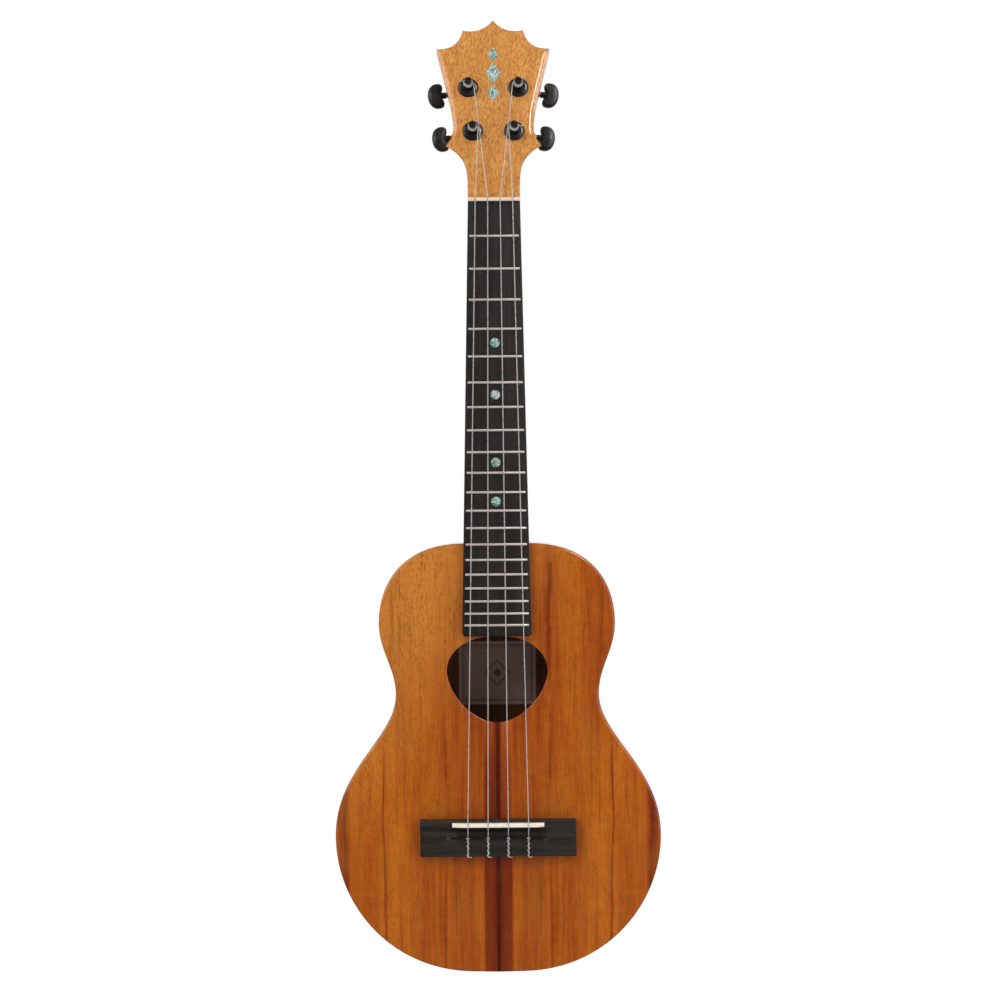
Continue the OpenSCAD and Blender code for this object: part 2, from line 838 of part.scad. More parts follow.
module tuner_screws() {
    color(black_metal) place() for (t = tuners)
        in_tuner(t) translate([0, ear_u, -head_t - case_floor]) {
            cylinder(r = screw_r, h = screw_len);
            translate([0, 0, -1.1]) rotate_extrude() polygon([[0, 0], [1.6, 0], [2.2, 0.5],
                [2.2, 1.1], [0, 1.1]]);
        }
}

soundboard();
back_plate();
side(-1, lower_cuts);  // side_lower_left
side(-1, upper_cuts);  // side_upper_left
side(1, lower_cuts);  // side_lower_right
side(1, upper_cuts);  // side_upper_right
neck_block();
tail_block();
linings();
cross_braces();
fan_braces();
bridge_plate();
back_braces();
label();
neck();
heel_cap();
neck_dowels();
head_faceplate();
head_inlay();
nut();
fretboard();
frets();
position_dots();
side_dots();
bridge();
saddle();
tuner_covers();
tuner_screws();
for (t = tuners) {
    string_line(t);
    housing(t);
    bushing(t);
    worm_shaft(t);
    button(t);
    gear(t);
    post(t);
    winding(t);
}
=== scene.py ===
"""Tenor ukulele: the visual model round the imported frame.

Pieces are drawn in the instrument's own millimetres (x across, y from the tail up the neck, z out
of the soundboard) and stood up in the frame by at(). Names match part.scad.
"""
from math import copysign, cos, hypot, pi, radians, sin, sqrt, tan

import bpy
import bmesh
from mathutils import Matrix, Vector
from mathutils.geometry import tessellate_polygon


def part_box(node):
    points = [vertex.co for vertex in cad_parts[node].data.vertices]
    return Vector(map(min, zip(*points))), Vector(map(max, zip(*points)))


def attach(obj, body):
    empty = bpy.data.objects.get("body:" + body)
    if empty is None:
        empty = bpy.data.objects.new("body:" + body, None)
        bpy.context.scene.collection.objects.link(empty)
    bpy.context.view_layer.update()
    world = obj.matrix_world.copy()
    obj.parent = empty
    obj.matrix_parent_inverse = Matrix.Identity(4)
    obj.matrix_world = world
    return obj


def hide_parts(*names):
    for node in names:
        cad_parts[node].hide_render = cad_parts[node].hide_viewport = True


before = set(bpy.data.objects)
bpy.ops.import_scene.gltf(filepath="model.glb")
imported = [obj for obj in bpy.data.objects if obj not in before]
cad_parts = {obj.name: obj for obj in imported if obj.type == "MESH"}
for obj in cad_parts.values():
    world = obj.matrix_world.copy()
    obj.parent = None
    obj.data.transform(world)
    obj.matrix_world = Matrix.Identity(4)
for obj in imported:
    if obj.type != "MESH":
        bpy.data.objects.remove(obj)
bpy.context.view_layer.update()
MM = 0.001

# ---------- sizes in millimetres ----------

SCALE_LEN, COMPENSATION, FRETS = 432.0, 3.0, 20
BODY_LEN, BODY_DEPTH = 300.8, 68.0
LOWER_HALF, LOWER_Y = 114.0, 95.8
WAIST_HALF, WAIST_Y = 71.2, 194.9
UPPER_HALF, UPPER_Y = 82.8, 244.4
PLATE_T, SIDE_T = 2.0, 2.0
HOLE_HALF, HOLE_TOP, HOLE_WIDE, HOLE_LOW = 35.2, 235.4, 211.4, 174.9
NUT_W, BOARD_END_W, BOARD_T, BOARD_END = 36.5, 48.3, 5.5, 235.4
NUT_FRONT, NUT_T = 539.1, 2.6
NUT_BACK = NUT_FRONT + NUT_T
NUT_H = BOARD_T + 2.0
NECK_DEPTH, NECK_SWELL, HEEL_DROP, HEEL_RUN, HEEL_LAND = 14.0, 1.5, 58.0, 38.0, 12.0
LEAD_SWELL = 4.2  # extra depth of the neck's back where it runs out behind the head
HEAD_TILT, HEAD_T, HEAD_LIFT, FACE_T = radians(14.0), 12.0, 2.5, 1.6
BRIDGE_W, BRIDGE_H, BRIDGE_LOW, BRIDGE_HIGH = 109.0, 8.0, 82.0, 107.5
SADDLE_T, SADDLE_LEN, SADDLE_PITCH = 3.2, 64.0, 14.1
SADDLE_Y = NUT_FRONT - SCALE_LEN - COMPENSATION
TIE_FRONT, HOLLOW_END, HOLLOW_HALF, HOLLOW_FLOOR = 94.5, 100.2, 34.0, 3.6
TIE_HOLE_Z = 5.2
NUT_PITCH, STRING_R = 8.7, 0.35
NUT_STRING_Z, SADDLE_STRING_Z, POST_STRING_W = 7.15, 11.75, 8.9
FRET_W, FRET_H, FRET_INSET = 1.6, 1.0, 1.4
DOT_R, DOT_T, SIDE_DOT_R, DOTTED = 3.25, 1.2, 1.0, (5, 7, 10, 12)
POST_R, POST_HOLE_R, WAIST_R, WOUND_R = 2.95, 5.0, 2.1, 3.4
WINDING_LOW, WINDING_HIGH, POST_TOP, TAIL_HOLE_W = 7.2, 10.6, 14.0, 12.0
POST_BASE_TOP = 5.8
BUSHING_R, BUSHING_SLEEVE, RUN_GAP = 7.2, 6.0, 0.05
WORM_DROP, CENTRE_GAP, COLLAR_R, COLLAR_END = 6.5, 4.6, 2.8, 14.4
SHAFT_END, BUTTON_HALF_T, BOSS_R = 21.0, 3.2, 2.5
CASE_DEPTH, CASE_FLOOR, COVER_T = 9.4, 1.6, 1.2
CASE_X, CASE_U, CASE_CORNER_R = (-7.2, 7.6), (-5.8, 8.4), 2.0
EAR_U, EAR_R = -10.0, 3.0
SCREW_R = 1.1
TUNER_TURN = radians(8.0)
TAIL_ANGLES = {"g": 3.9, "c": 0.05, "e": 0.65, "a": -0.15}  # where each cut end points
TUNERS = {  # side, post x, post height up the head, string place counted from the middle
    "g": (-1, 14.6, 50.0, 1.5),
    "c": (-1, 17.65, 82.9, 0.5),
    "e": (1, 17.65, 82.9, 0.5),
    "a": (1, 14.6, 50.0, 1.5),
}

# ---------- frames ----------

TAIL_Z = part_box("soundboard")[0].z
FRONT_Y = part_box("soundboard")[0].y


def at(x, y, z):
    """A point of the instrument frame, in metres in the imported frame."""
    return Vector((x * MM, FRONT_Y - z * MM, TAIL_Z + y * MM))


def in_place(x, y, z):
    """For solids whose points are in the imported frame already."""
    return Vector((x, y, z))


def head_mm(x, u, w):
    """A point u up the head and w out of its face, in instrument millimetres."""
    c, s = cos(HEAD_TILT), sin(HEAD_TILT)
    return Vector((x, NUT_BACK + u * c + w * s, HEAD_LIFT - u * s + w * c))


def on_head(x, u, w):
    return at(*head_mm(x, u, w))


def on_tuner(name):
    """Frame of one tuner: x outwards along the shaft from the post, z out of the head's face."""
    side, px, pu, _ = TUNERS[name]
    c, s = cos(TUNER_TURN), sin(TUNER_TURN)
    return lambda x, y, z: on_head(side * (px + x * c + y * s), pu - x * s + y * c, z)


def on_shaft(name):
    """Frame of one tuner's shaft: x along the shaft from under the post."""
    place = on_tuner(name)
    return lambda x, y, z: place(x, y + CENTRE_GAP, z - HEAD_T - WORM_DROP)


# ---------- outlines ----------


def bezier(a, b, c, d, n):
    """n points after a along the cubic curve a, b, c, d."""
    out = []
    for i in range(1, n + 1):
        t = i / n
        k = ((1 - t) ** 3, 3 * (1 - t) ** 2 * t, 3 * (1 - t) * t * t, t**3)
        out.append(tuple(sum(w * p[j] for w, p in zip(k, (a, b, c, d))) for j in (0, 1)))
    return out


def bow(a, b, sag, n):
    """n points after a to b along a shallow arc that bulges by sag to the left."""
    dx, dy = b[0] - a[0], b[1] - a[1]
    size = hypot(dx, dy)
    out = []
    for i in range(1, n + 1):
        t = i / n
        lift = 4 * sag * t * (1 - t) / size
        out.append((a[0] + t * dx - lift * dy, a[1] + t * dy + lift * dx))
    return out


def corner(cx, cy, r, start, steps=6, turn=90):
    """Points along an arc round (cx, cy) from the angle start on, in degrees."""
    angles = [radians(start + turn * i / steps) for i in range(steps + 1)]
    return [(cx + r * cos(a), cy + r * sin(a)) for a in angles]


def round_rect(x, y, r):
    pts = []
    for cx, cy, start in ((x[1] - r, y[1] - r, 0), (x[0] + r, y[1] - r, 90),
                          (x[0] + r, y[0] + r, 180), (x[1] - r, y[0] + r, 270)):
        pts += corner(cx, cy, r, start)
    return pts


def smooth(t):
    """0 below 0, 1 above 1, smooth between."""
    t = min(1.0, max(0.0, t))
    return t * t * (3 - 2 * t)


def mirrored(half):
    """Closed outline from a half that starts and ends on the centre line."""
    return half + [(-x, y) for x, y in reversed(half[1:-1])]


def half_body():
    shoulder = (24.6, BODY_LEN - 0.5)
    tail = (18.0, 0.35)
    low, waist, high = (LOWER_HALF, LOWER_Y), (WAIST_HALF, WAIST_Y), (UPPER_HALF, UPPER_Y)
    pts = [(0.0, 0.0), (9.0, 0.1), tail]
    pts += bezier(tail, (75.0, 1.1), (LOWER_HALF, 46.4), low, 48)
    pts += bezier(low, (LOWER_HALF, 143.2), (WAIST_HALF, 164.2), waist, 44)
    pts += bezier(waist, (WAIST_HALF, 212.9), (UPPER_HALF, 225.4), high, 28)
    pts += bezier(high, (UPPER_HALF, 271.7), (67.4, shoulder[1] - 0.9), shoulder, 44)
    pts += [(12.0, BODY_LEN - 0.12), (0.0, BODY_LEN)]
    return pts


def half_hole():
    low, wide, top = (0.0, HOLE_LOW), (HOLE_HALF, HOLE_WIDE), (0.0, HOLE_TOP)
    pts = [low] + bezier(low, (16.9, HOLE_LOW), (HOLE_HALF, 195.1), wide, 30)
    return pts + bezier(wide, (HOLE_HALF, 221.6), (25.0, HOLE_TOP), top, 28)


def half_head():
    waist, spur, notch = (18.4, 12.0), (33.5, 39.3), (28.4, 52.6)
    horn, peak, tip = (40.2, 113.2), (21.5, 127.5), (0.0, 135.2)
    pts = [(0.0, 0.0), (NUT_W / 2, 0.0), (18.3, 6.0), waist]
    pts += bezier(waist, (18.6, 22.0), (19.5, 31.5), spur, 16)
    pts += bow(spur, notch, 1.2, 10)
    pts += bezier(notch, (28.4, 66.0), (31.0, 74.0), horn, 16)
    pts += bow(horn, peak, 5.0, 14)
    return pts + bow(peak, tip, 3.6, 14)


def board_half(y):
    """Half-width of the fretboard at y."""
    return (NUT_W + (BOARD_END_W - NUT_W) * (NUT_FRONT - y) / (NUT_FRONT - BOARD_END)) / 2


def fret_y(n):
    return NUT_FRONT - SCALE_LEN * (1 - 2 ** (-n / 12))


def moved_in(pts, amount):
    """A counter-clockwise outline moved inwards; amount is a number or a function of the point."""
    out = []
    n = len(pts)
    for i, p in enumerate(pts):
        a, b = pts[i - 1], pts[(i + 1) % n]
        u = Vector((p[0] - a[0], p[1] - a[1])).normalized()
        v = Vector((b[0] - p[0], b[1] - p[1])).normalized()
        t = (u + v).normalized()
        d = (amount(p) if callable(amount) else amount) / max(0.6, t.dot(u))
        out.append((p[0] - d * t.y, p[1] + d * t.x))
    return out


# ---------- mesh tools ----------


class Solid:
    """Vertices and faces of one piece in its own millimetre frame."""

    def __init__(self):
        self.verts, self.faces, self.mats = [], [], []

    def add(self, verts, faces):
        base = len(self.verts)
        self.verts += [tuple(v) for v in verts]
        self.faces += [tuple(base + i for i in f) for f in faces]
        self.mats += [0] * len(faces)

    def skin(self, rings, caps=True):
        """Quads between successive rings of equal length, with the two ends filled."""
        n = len(rings[0])
        faces = []
        for k in range(len(rings) - 1):
            for i in range(n):
                j = (i + 1) % n
                faces.append((k * n + i, k * n + j, (k + 1) * n + j, (k + 1) * n + i))
        if caps:
            faces.append(tuple(reversed(range(n))))
            faces.append(tuple((len(rings) - 1) * n + i for i in range(n)))
        self.add([p for r in rings for p in r], faces)

    def flat(self, outline, z, up, hole=None):
        """A flat face on an outline, with a hole in it if one is given."""
        loops = [[Vector((x, y, 0)) for x, y in outline]]
        if hole:
            loops.append([Vector((x, y, 0)) for x, y in hole])
        tris = tessellate_polygon(loops)
        verts = [(p.x, p.y, z) for loop in loops for p in loop]
        self.add(verts, [t if up else tuple(reversed(t)) for t in tris])

    def lathe(self, profile, sides=48, axis="z", centre=(0, 0, 0)):
        """Profile points (radius, height) turned round an axis; radius 0 ends close it."""
        rings = []
        for r, h in profile:
            ring = []
            for i in range(sides):
                a = 2 * pi * i / sides
                p = (r * cos(a), r * sin(a), h)
                if axis == "x":
                    p = (h, p[0], p[1])
                ring.append(tuple(p[k] + centre[k] for k in range(3)))
            rings.append(ring)
        return rings

    def turned(self, profile, sides=48, axis="z", centre=(0, 0, 0)):
        """A closed body of revolution. The profile runs along the outside from end to end."""
        self.skin(self.lathe(profile, sides, axis, centre))

    def ring_body(self, profile, sides=48, axis="z", centre=(0, 0, 0)):
        """A closed ring: the profile is a loop round its cross-section."""
        rings = self.lathe(profile + profile[:1], sides, axis, centre)
        self.skin(rings, caps=False)

    def rounded(self, outline, z0, z1, low, high, steps=6, hole=None, hole_r=0.0):
        """A plate on an outline with its low and high edges rounded by those radii."""
        rings = [[(x, y, z) for x, y in moved_in(outline, inset)]
                 for inset, z in edge_profile(z0, z1, low, high, steps)]
        self.skin(rings, caps=False)
        inner = [None, None]
        if hole:
            inner = [[(x, y, z) for x, y in moved_in(hole, -inset)]
                     for inset, z in edge_profile(z0, z1, hole_r, hole_r, steps)]
            self.skin([ring[::-1] for ring in inner], caps=False)
        for k, z in ((0, z0), (-1, z1)):
            inner_loop = inner[k] and [p[:2] for p in inner[k]]
            self.flat([p[:2] for p in rings[k]], z, k == -1, inner_loop)

    def tube(self, path, radius, sides=10):
        """A round line along a list of points."""
        pts = [Vector(p) for p in path]
        side = None
        rings = []
        for i, p in enumerate(pts):
            ahead = (pts[min(i + 1, len(pts) - 1)] - pts[max(i - 1, 0)]).normalized()
            if side is None:
                ref = Vector((1, 0, 0)) if abs(ahead.x) < 0.9 else Vector((0, 1, 0))
                side = (ref - ahead * ref.dot(ahead)).normalized()
            side = (side - ahead * side.dot(ahead)).normalized()
            other = ahead.cross(side)
            rings.append([tuple(p + radius * (cos(a) * side + sin(a) * other))
                          for a in (2 * pi * k / sides for k in range(sides))])
        self.skin(rings)


def edge_profile(z0, z1, low, high, steps):
    """Inset and height of each level of a rounded edge, from the lower to the upper face."""
    turns = [pi / 2 * i / steps for i in range(steps + 1)]
    out = [(low * (1 - sin(a)), z0 + low * (1 - cos(a))) for a in turns]
    return out + [(high * (1 - cos(a)), z1 - high * (1 - sin(a))) for a in turns]


def piece(name, solid, place, look, nodes, body="instrument", angle=35.0, second=None):
    """Makes the Blender object of a Solid, ties it to its body and hides its CAD nodes."""
    mesh = bpy.data.meshes.new(name)
    mesh.from_pydata([place(*v) for v in solid.verts], [], solid.faces)
    mesh.materials.append(M[look])
    if second:
        mesh.materials.append(M[second])
    for poly, mat in zip(mesh.polygons, solid.mats):
        poly.material_index = mat
    bm = bmesh.new()
    bm.from_mesh(mesh)
    bmesh.ops.remove_doubles(bm, verts=bm.verts, dist=1e-6)
    bmesh.ops.dissolve_degenerate(bm, dist=1e-6, edges=bm.edges)
    bmesh.ops.recalc_face_normals(bm, faces=bm.faces)
    for f in bm.faces:
        f.smooth = True
    bm.to_mesh(mesh)
    bm.free()
    mesh.set_sharp_from_angle(angle=radians(angle))
    obj = bpy.data.objects.new(name, mesh)
    bpy.context.scene.collection.objects.link(obj)
    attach(obj, body)
    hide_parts(*nodes)


# ---------- material tools ----------


class Nodes:
    """A node tree, with short calls for the nodes that the recipes use."""

    def __init__(self, owner):
        owner.use_nodes = True
        self.tree = owner.node_tree

    def link(self, a, b):
        if hasattr(a, "is_output"):
            self.tree.links.new(a, b)
        else:
            b.default_value = a

    def new(self, kind, *values):
        """A node with its first inputs linked or set."""
        n = self.tree.nodes.new("ShaderNode" + kind)
        for value, socket in zip(values, n.inputs):
            self.link(value, socket)
        return n

    def math(self, op, a, b=0.0, c=0.0, clamp=False):
        n = self.new("Math", a, b, c)
        n.operation = op
        n.use_clamp = clamp
        return n.outputs[0]

    def plus(self, a, b):
        return self.math("ADD", a, b)

    def minus(self, a, b):
        return self.math("SUBTRACT", a, b)

    def times(self, a, b):
        return self.math("MULTIPLY", a, b)

    def madd(self, a, b, c):
        """a times b plus c."""
        return self.math("MULTIPLY_ADD", a, b, c)

    def size_of(self, a):
        return self.math("ABSOLUTE", a)

    def fit(self, value, a, b, c=0.0, d=1.0):
        """value smoothly carried from the range a..b to c..d, and held beyond it."""
        n = self.new("MapRange", value, a, b, c, d)
        n.interpolation_type = "SMOOTHSTEP"
        return n.outputs[0]


class Shader(Nodes):
    """A node material. x, y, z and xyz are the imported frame's millimetres."""

    def __init__(self, name):
        self.mat = bpy.data.materials.new(name)
        super().__init__(self.mat)
        self.bsdf = self.tree.nodes["Principled BSDF"]
        coords = self.new("TexCoord")
        scale = self.new("VectorMath", coords.outputs["Object"])
        scale.operation = "SCALE"
        scale.inputs["Scale"].default_value = 1 / MM
        self.xyz = scale.outputs[0]
        self.x, self.y, self.z = self.new("SeparateXYZ", self.xyz).outputs

    def vec(self, x, y, z):
        return self.new("CombineXYZ", x, y, z).outputs[0]

    def noise(self, vector, scale=1.0, detail=3.0, rough=0.5, distort=0.0):
        n = self.new("TexNoise", vector)
        for key, value in (("Scale", scale), ("Detail", detail), ("Roughness", rough),
                           ("Distortion", distort)):
            n.inputs[key].default_value = value
        return n.outputs["Fac"]

    def ramp(self, value, stops):
        """Colour ramp; a stop is (place, colour), and a plain number is a grey."""
        n = self.new("ValToRGB", value)
        els = n.color_ramp.elements
        while len(els) < len(stops):
            els.new(0.5)
        for el, (place, tone) in zip(els, stops):
            el.position = place
            el.color = (*tone, 1.0) if isinstance(tone, tuple) else (tone, tone, tone, 1.0)
        return n.outputs[0]

    def mix(self, fac, a, b):
        n = self.new("Mix", fac)
        n.data_type = "RGBA"
        for value, socket in ((a, n.inputs[6]), (b, n.inputs[7])):
            self.link((*value, 1.0) if isinstance(value, tuple) else value, socket)
        return n.outputs[2]

    def set(self, **values):
        for name, value in values.items():
            self.link(value, self.bsdf.inputs[name.replace("_", " ")])

    def bump(self, height, distance, strength=1.0, coat=False):
        n = self.new("Bump")
        for key, value in (("Strength", strength), ("Distance", distance * MM), ("Height", height)):
            self.link(value, n.inputs[key])
        self.link(n.outputs[0], self.bsdf.inputs["Coat Normal" if coat else "Normal"])


def streaks(s, across, along, width, length, seed, detail=3.0, rough=0.55, distort=0.0):
    """Noise drawn out along the grain: width and length in millimetres."""
    place = s.vec(s.math("DIVIDE", across, width), s.math("DIVIDE", along, length), seed)
    return s.noise(place, 1.0, detail, rough, distort)


def fibres(s, across, along, seed, fine=1.0):
    """Two sizes of streak and the short open pores of the wood, each from 0 to 1."""
    broad = streaks(s, across, along, 3.6, 110.0, seed, 4.0, 0.55, 0.3)
    narrow = streaks(s, across, along, 0.55 / fine, 14.0, seed + 3.0, 4.0, 0.6)
    pore = streaks(s, across, along, 0.5 / fine, 3.6, seed + 9.0, 2.0)
    return broad, narrow, pore


def lacquer(s, rough):
    """Thick clear gloss over the wood, very slightly wavy."""
    s.set(IOR=1.5, Coat_Weight=1.0, Coat_Roughness=0.05, Coat_IOR=1.5)
    s.bsdf.inputs["Specular IOR Level"].default_value = 0.2
    s.set(Roughness=rough)
    s.bump(s.noise(s.xyz, 0.03, 2.0), 0.25, 0.25, coat=True)


def add_scaled(s, value, noise, amount):
    """value plus amount times the noise's swing about its middle."""
    return s.madd(s.minus(noise, 0.5), amount, value)


def koa(name, across, along, base, seed=1.7):
    """Glossy koa. across and along pick the grain directions, base gives the broad bands."""
    s = Shader(name)
    a, v = across(s), along(s)
    calm = s.fit(s.size_of(a), 9.0, 12.0, 0.4, 1.0)
    lines = streaks(s, a, v, 1.7, 60.0, seed + 2.0, 4.0, 0.6, 0.5)
    swing = add_scaled(s, 0.0, streaks(s, a, v, 7.5, 130.0, seed, 3.0, 0.5, 0.4), 0.50)
    swing = add_scaled(s, swing, lines, 0.56)
    narrow = streaks(s, a, v, 0.8, 16.0, seed + 3.0, 4.0, 0.6)
    swing = add_scaled(s, swing, narrow, 0.32)
    swing = add_scaled(s, swing, streaks(s, a, v, 14.0, 11.0, seed + 5.0, 3.0, 0.6, 1.2), 0.26)
    colour = s.ramp(s.madd(swing, calm, base(s, a, v)), KOA_TONES)
    hue = s.fit(streaks(s, a, v, 22.0, 60.0, seed + 7.0, 3.0), 0.45, 0.7)
    hue = s.times(hue, s.fit(calm, 0.5, 1.0, 0.0, 0.35))
    colour = s.mix(hue, colour, KOA_HONEY)
    pore = streaks(s, a, v, 0.62, 3.0, seed + 9.0, 2.0)
    crowd = streaks(s, a, v, 16.0, 34.0, seed + 12.0, 2.0)
    upper_left = s.fit(towards_upper_left(s), -300.0, -170.0)
    crowd = s.madd(s.minus(crowd, 0.5), 0.22, pore)
    pores = s.fit(s.madd(upper_left, 0.045, crowd), 0.58, 0.68)
    # Painted highlight: the wood turns lighter and more golden towards the upper left shoulder,
    # standing in for the light falling there. The same mask also crowds the pores there, which is
    # grain.
    colour = s.mix(s.times(upper_left, 0.55), colour, KOA_SHEEN_GOLD)
    shade = s.fit(streaks(s, a, v, 5.0, 90.0, seed + 15.0, 3.0, 0.6, 0.6), 0.52, 0.68)
    scorch = s.math("MAXIMUM", s.fit(lines, 0.57, 0.70), s.times(shade, 0.7))
    colour = s.mix(s.times(scorch, 0.55), colour, KOA_BROWN)
    colour = s.mix(s.times(pores, 0.50), colour, KOA_PORE)
    s.set(Base_Color=colour)
    lacquer(s, s.fit(narrow, 0.2, 0.8, 0.32, 0.46))
    s.bump(s.minus(1.0, pores), 0.03, 0.4)
    return s.mat


def towards_upper_left(s):
    """Millimetres towards the upper left shoulder."""
    return s.madd(s.z, 0.8, s.times(s.x, -1.0))


def bookmatched_bands(s, a, v):
    """Bands mirrored about a dark centre seam, with narrow streaks in the lower bout."""
    warp = s.minus(streaks(s, a, v, 34.0, 110.0, 7.7, 2.0), 0.5)
    place = s.madd(s.times(warp, s.fit(a, 9.0, 26.0)), 7.0, a)
    share = s.math("DIVIDE", place, BAND_SPAN, clamp=True)
    lower = s.fit(v, -385.0, -425.0)
    bands = s.mix(lower, s.ramp(share, UPPER_BANDS), s.ramp(share, LOWER_BANDS))
    sway = s.minus(s.noise(s.vec(0.0, 0.0, v), 0.03), 0.5)
    beside = s.size_of(s.minus(s.x, s.madd(sway, 8.0, 36.0)))
    dark_line = s.times(s.fit(beside, 3.2, 0.4), s.fit(v, -372.0, -345.0))
    bands = s.madd(dark_line, -0.28, bands)
    right_of_seam = s.times(s.fit(s.x, 1.4, 3.0), s.fit(s.x, 11.0, 9.5))
    above_bridge = s.fit(v, -468.0, -452.0)
    return s.madd(s.times(right_of_seam, above_bridge), 0.16, bands)


def plain_bands(s, a, v):
    """Broad, slowly changing bands."""
    return s.fit(streaks(s, a, v, 14.0, 240.0, 2.2, 3.0), 0.3, 0.7, 0.42, 0.70)


def head_veneer(name):
    """The head's paler koa, with short wavy flecks close together."""
    s = Shader(name)
    bend = streaks(s, s.x, s.z, 16.0, 26.0, 3.3, 2.0)
    a = s.madd(s.minus(bend, 0.5), 9.0, s.x)
    fleck = streaks(s, a, s.z, 0.85, 3.0, 6.1, 3.0, 0.6, 0.5)
    cloud = streaks(s, a, s.z, 5.0, 13.0, 8.4, 4.0, 0.6)
    narrow = streaks(s, a, s.z, 1.4, 15.0, 4.9, 3.0, 0.6)
    tone = add_scaled(s, add_scaled(s, 0.52, cloud, 0.7), narrow, 0.6)
    colour = s.ramp(tone, [(0.2, (0.36, 0.13, 0.030)), (0.5, (0.57, 0.25, 0.058)),
                           (0.8, (0.70, 0.35, 0.10))])
    flecks = s.fit(fleck, 0.49, 0.58)
    colour = s.mix(s.times(flecks, 0.72), colour, (0.31, 0.10, 0.022))
    s.set(Base_Color=colour)
    lacquer(s, 0.36)
    s.bump(s.minus(1.0, flecks), 0.03, 0.35)
    return s.mat


# KOA_SHEEN_GOLD is the colour of the painted highlight on the upper left shoulder
KOA_HONEY, KOA_SHEEN_GOLD = (0.38, 0.118, 0.008), (0.62, 0.25, 0.040)
KOA_BROWN, KOA_PORE = (0.17, 0.040, 0.003), (0.14, 0.028, 0.003)
BAND_SPAN = 120.0
# Tone against distance from the centre seam, as a share of BAND_SPAN
LOWER_BANDS = [
    (0.0, 0.0), (0.007, 0.02), (0.016, 0.20), (0.076, 0.25), (0.086, 0.54), (0.25, 0.50),
    (0.292, 0.52), (0.302, 0.28), (0.312, 0.54), (0.47, 0.56), (0.62, 0.62), (0.655, 0.60),
    (0.663, 0.22), (0.674, 0.64), (0.80, 0.62), (0.86, 0.58), (0.885, 0.30), (0.915, 0.28),
    (0.94, 0.52),
]
UPPER_BANDS = [
    (0.0, 0.02), (0.012, 0.12), (0.03, 0.42), (0.20, 0.50), (0.42, 0.56), (0.60, 0.52), (0.9, 0.58),
]
KOA_TONES = [
    (0.0, (0.055, 0.004, 0.0005)), (0.14, (0.12, 0.011, 0.0005)), (0.28, (0.195, 0.024, 0.0005)),
    (0.46, (0.30, 0.054, 0.0005)), (0.60, (0.37, 0.080, 0.001)), (0.76, (0.45, 0.118, 0.003)),
    (0.90, (0.55, 0.19, 0.018)), (1.0, (0.66, 0.29, 0.05)),
]


def plain_wood(name, dark, light, across, along, rough, coat=0.0, fine=1.0, pores_to=None):
    """Straight-grained wood between two colours."""
    s = Shader(name)
    broad, narrow, pore = fibres(s, across(s), along(s), 5.1, fine)
    tone = s.madd(s.minus(narrow, 0.5), 0.7, broad)
    colour = s.mix(s.fit(tone, 0.25, 0.8), dark, light)
    pores = s.fit(pore, 0.60, 0.68)
    colour = s.mix(s.times(pores, 0.6), colour, pores_to or tuple(0.4 * c for c in dark))
    s.set(Base_Color=colour, Roughness=s.fit(narrow, 0.2, 0.8, rough - 0.07, rough + 0.07))
    s.set(Coat_Weight=coat, Coat_Roughness=0.12)
    s.bsdf.inputs["Specular IOR Level"].default_value = 0.3
    s.bump(s.minus(narrow, pores), 0.06, 0.5)
    return s.mat


def hard_finish(name, dark, light, rough, metal=0.0, coat=0.0, grain=0.8, depth=0.01, ior=1.5):
    """Metal or plastic with fine mottling, faint wear and a soft bump."""
    s = Shader(name)
    mottle = s.noise(s.xyz, grain, 4.0, 0.6)
    cloud = s.noise(s.xyz, 0.12, 2.0)
    s.set(Base_Color=s.mix(s.fit(mottle, 0.3, 0.75), dark, light), Metallic=metal, IOR=ior)
    s.set(Roughness=s.fit(cloud, 0.3, 0.7, rough - 0.05, rough + 0.07))
    s.set(Coat_Weight=coat, Coat_Roughness=0.08)
    s.bump(mottle, depth, 0.4)
    return s.mat


def shell_inlay(name):
    """Iridescent shell: curled layers of green, blue, pink and dark lines."""
    s = Shader(name)
    swirl = s.noise(s.xyz, 0.17, 2.0, 0.5, 1.2)
    layer = s.math("FRACT", s.times(swirl, 5.0))
    colour = s.ramp(layer, [(0.0, (0.05, 0.22, 0.17)), (0.2, (0.16, 0.55, 0.38)),
                            (0.4, (0.50, 0.80, 0.62)), (0.55, (0.20, 0.45, 0.62)),
                            (0.72, (0.66, 0.52, 0.56)), (0.88, (0.72, 0.84, 0.70)),
                            (1.0, (0.05, 0.22, 0.17))])
    vein = s.noise(s.xyz, 0.42, 2.0, 0.5, 0.6)
    dark_vein = s.fit(s.size_of(s.minus(vein, 0.5)), 0.035, 0.01)
    s.set(Base_Color=s.mix(s.times(dark_vein, 0.8), colour, (0.02, 0.05, 0.05)))
    s.set(Metallic=0.25, Roughness=s.fit(layer, 0.0, 1.0, 0.18, 0.34), Coat_Weight=1.0,
          Coat_Roughness=0.05)
    s.bump(swirl, 0.02, 0.4)
    return s.mat


def monofilament(name):
    """Milky clear string."""
    s = Shader(name)
    haze = s.noise(s.xyz, 0.35, 3.0)
    s.set(Base_Color=s.mix(haze, (0.48, 0.46, 0.45), (0.60, 0.58, 0.57)), IOR=1.4)
    s.set(Roughness=s.fit(haze, 0.2, 0.8, 0.24, 0.36), Transmission_Weight=0.35)
    s.bump(haze, 0.004, 0.2)
    return s.mat


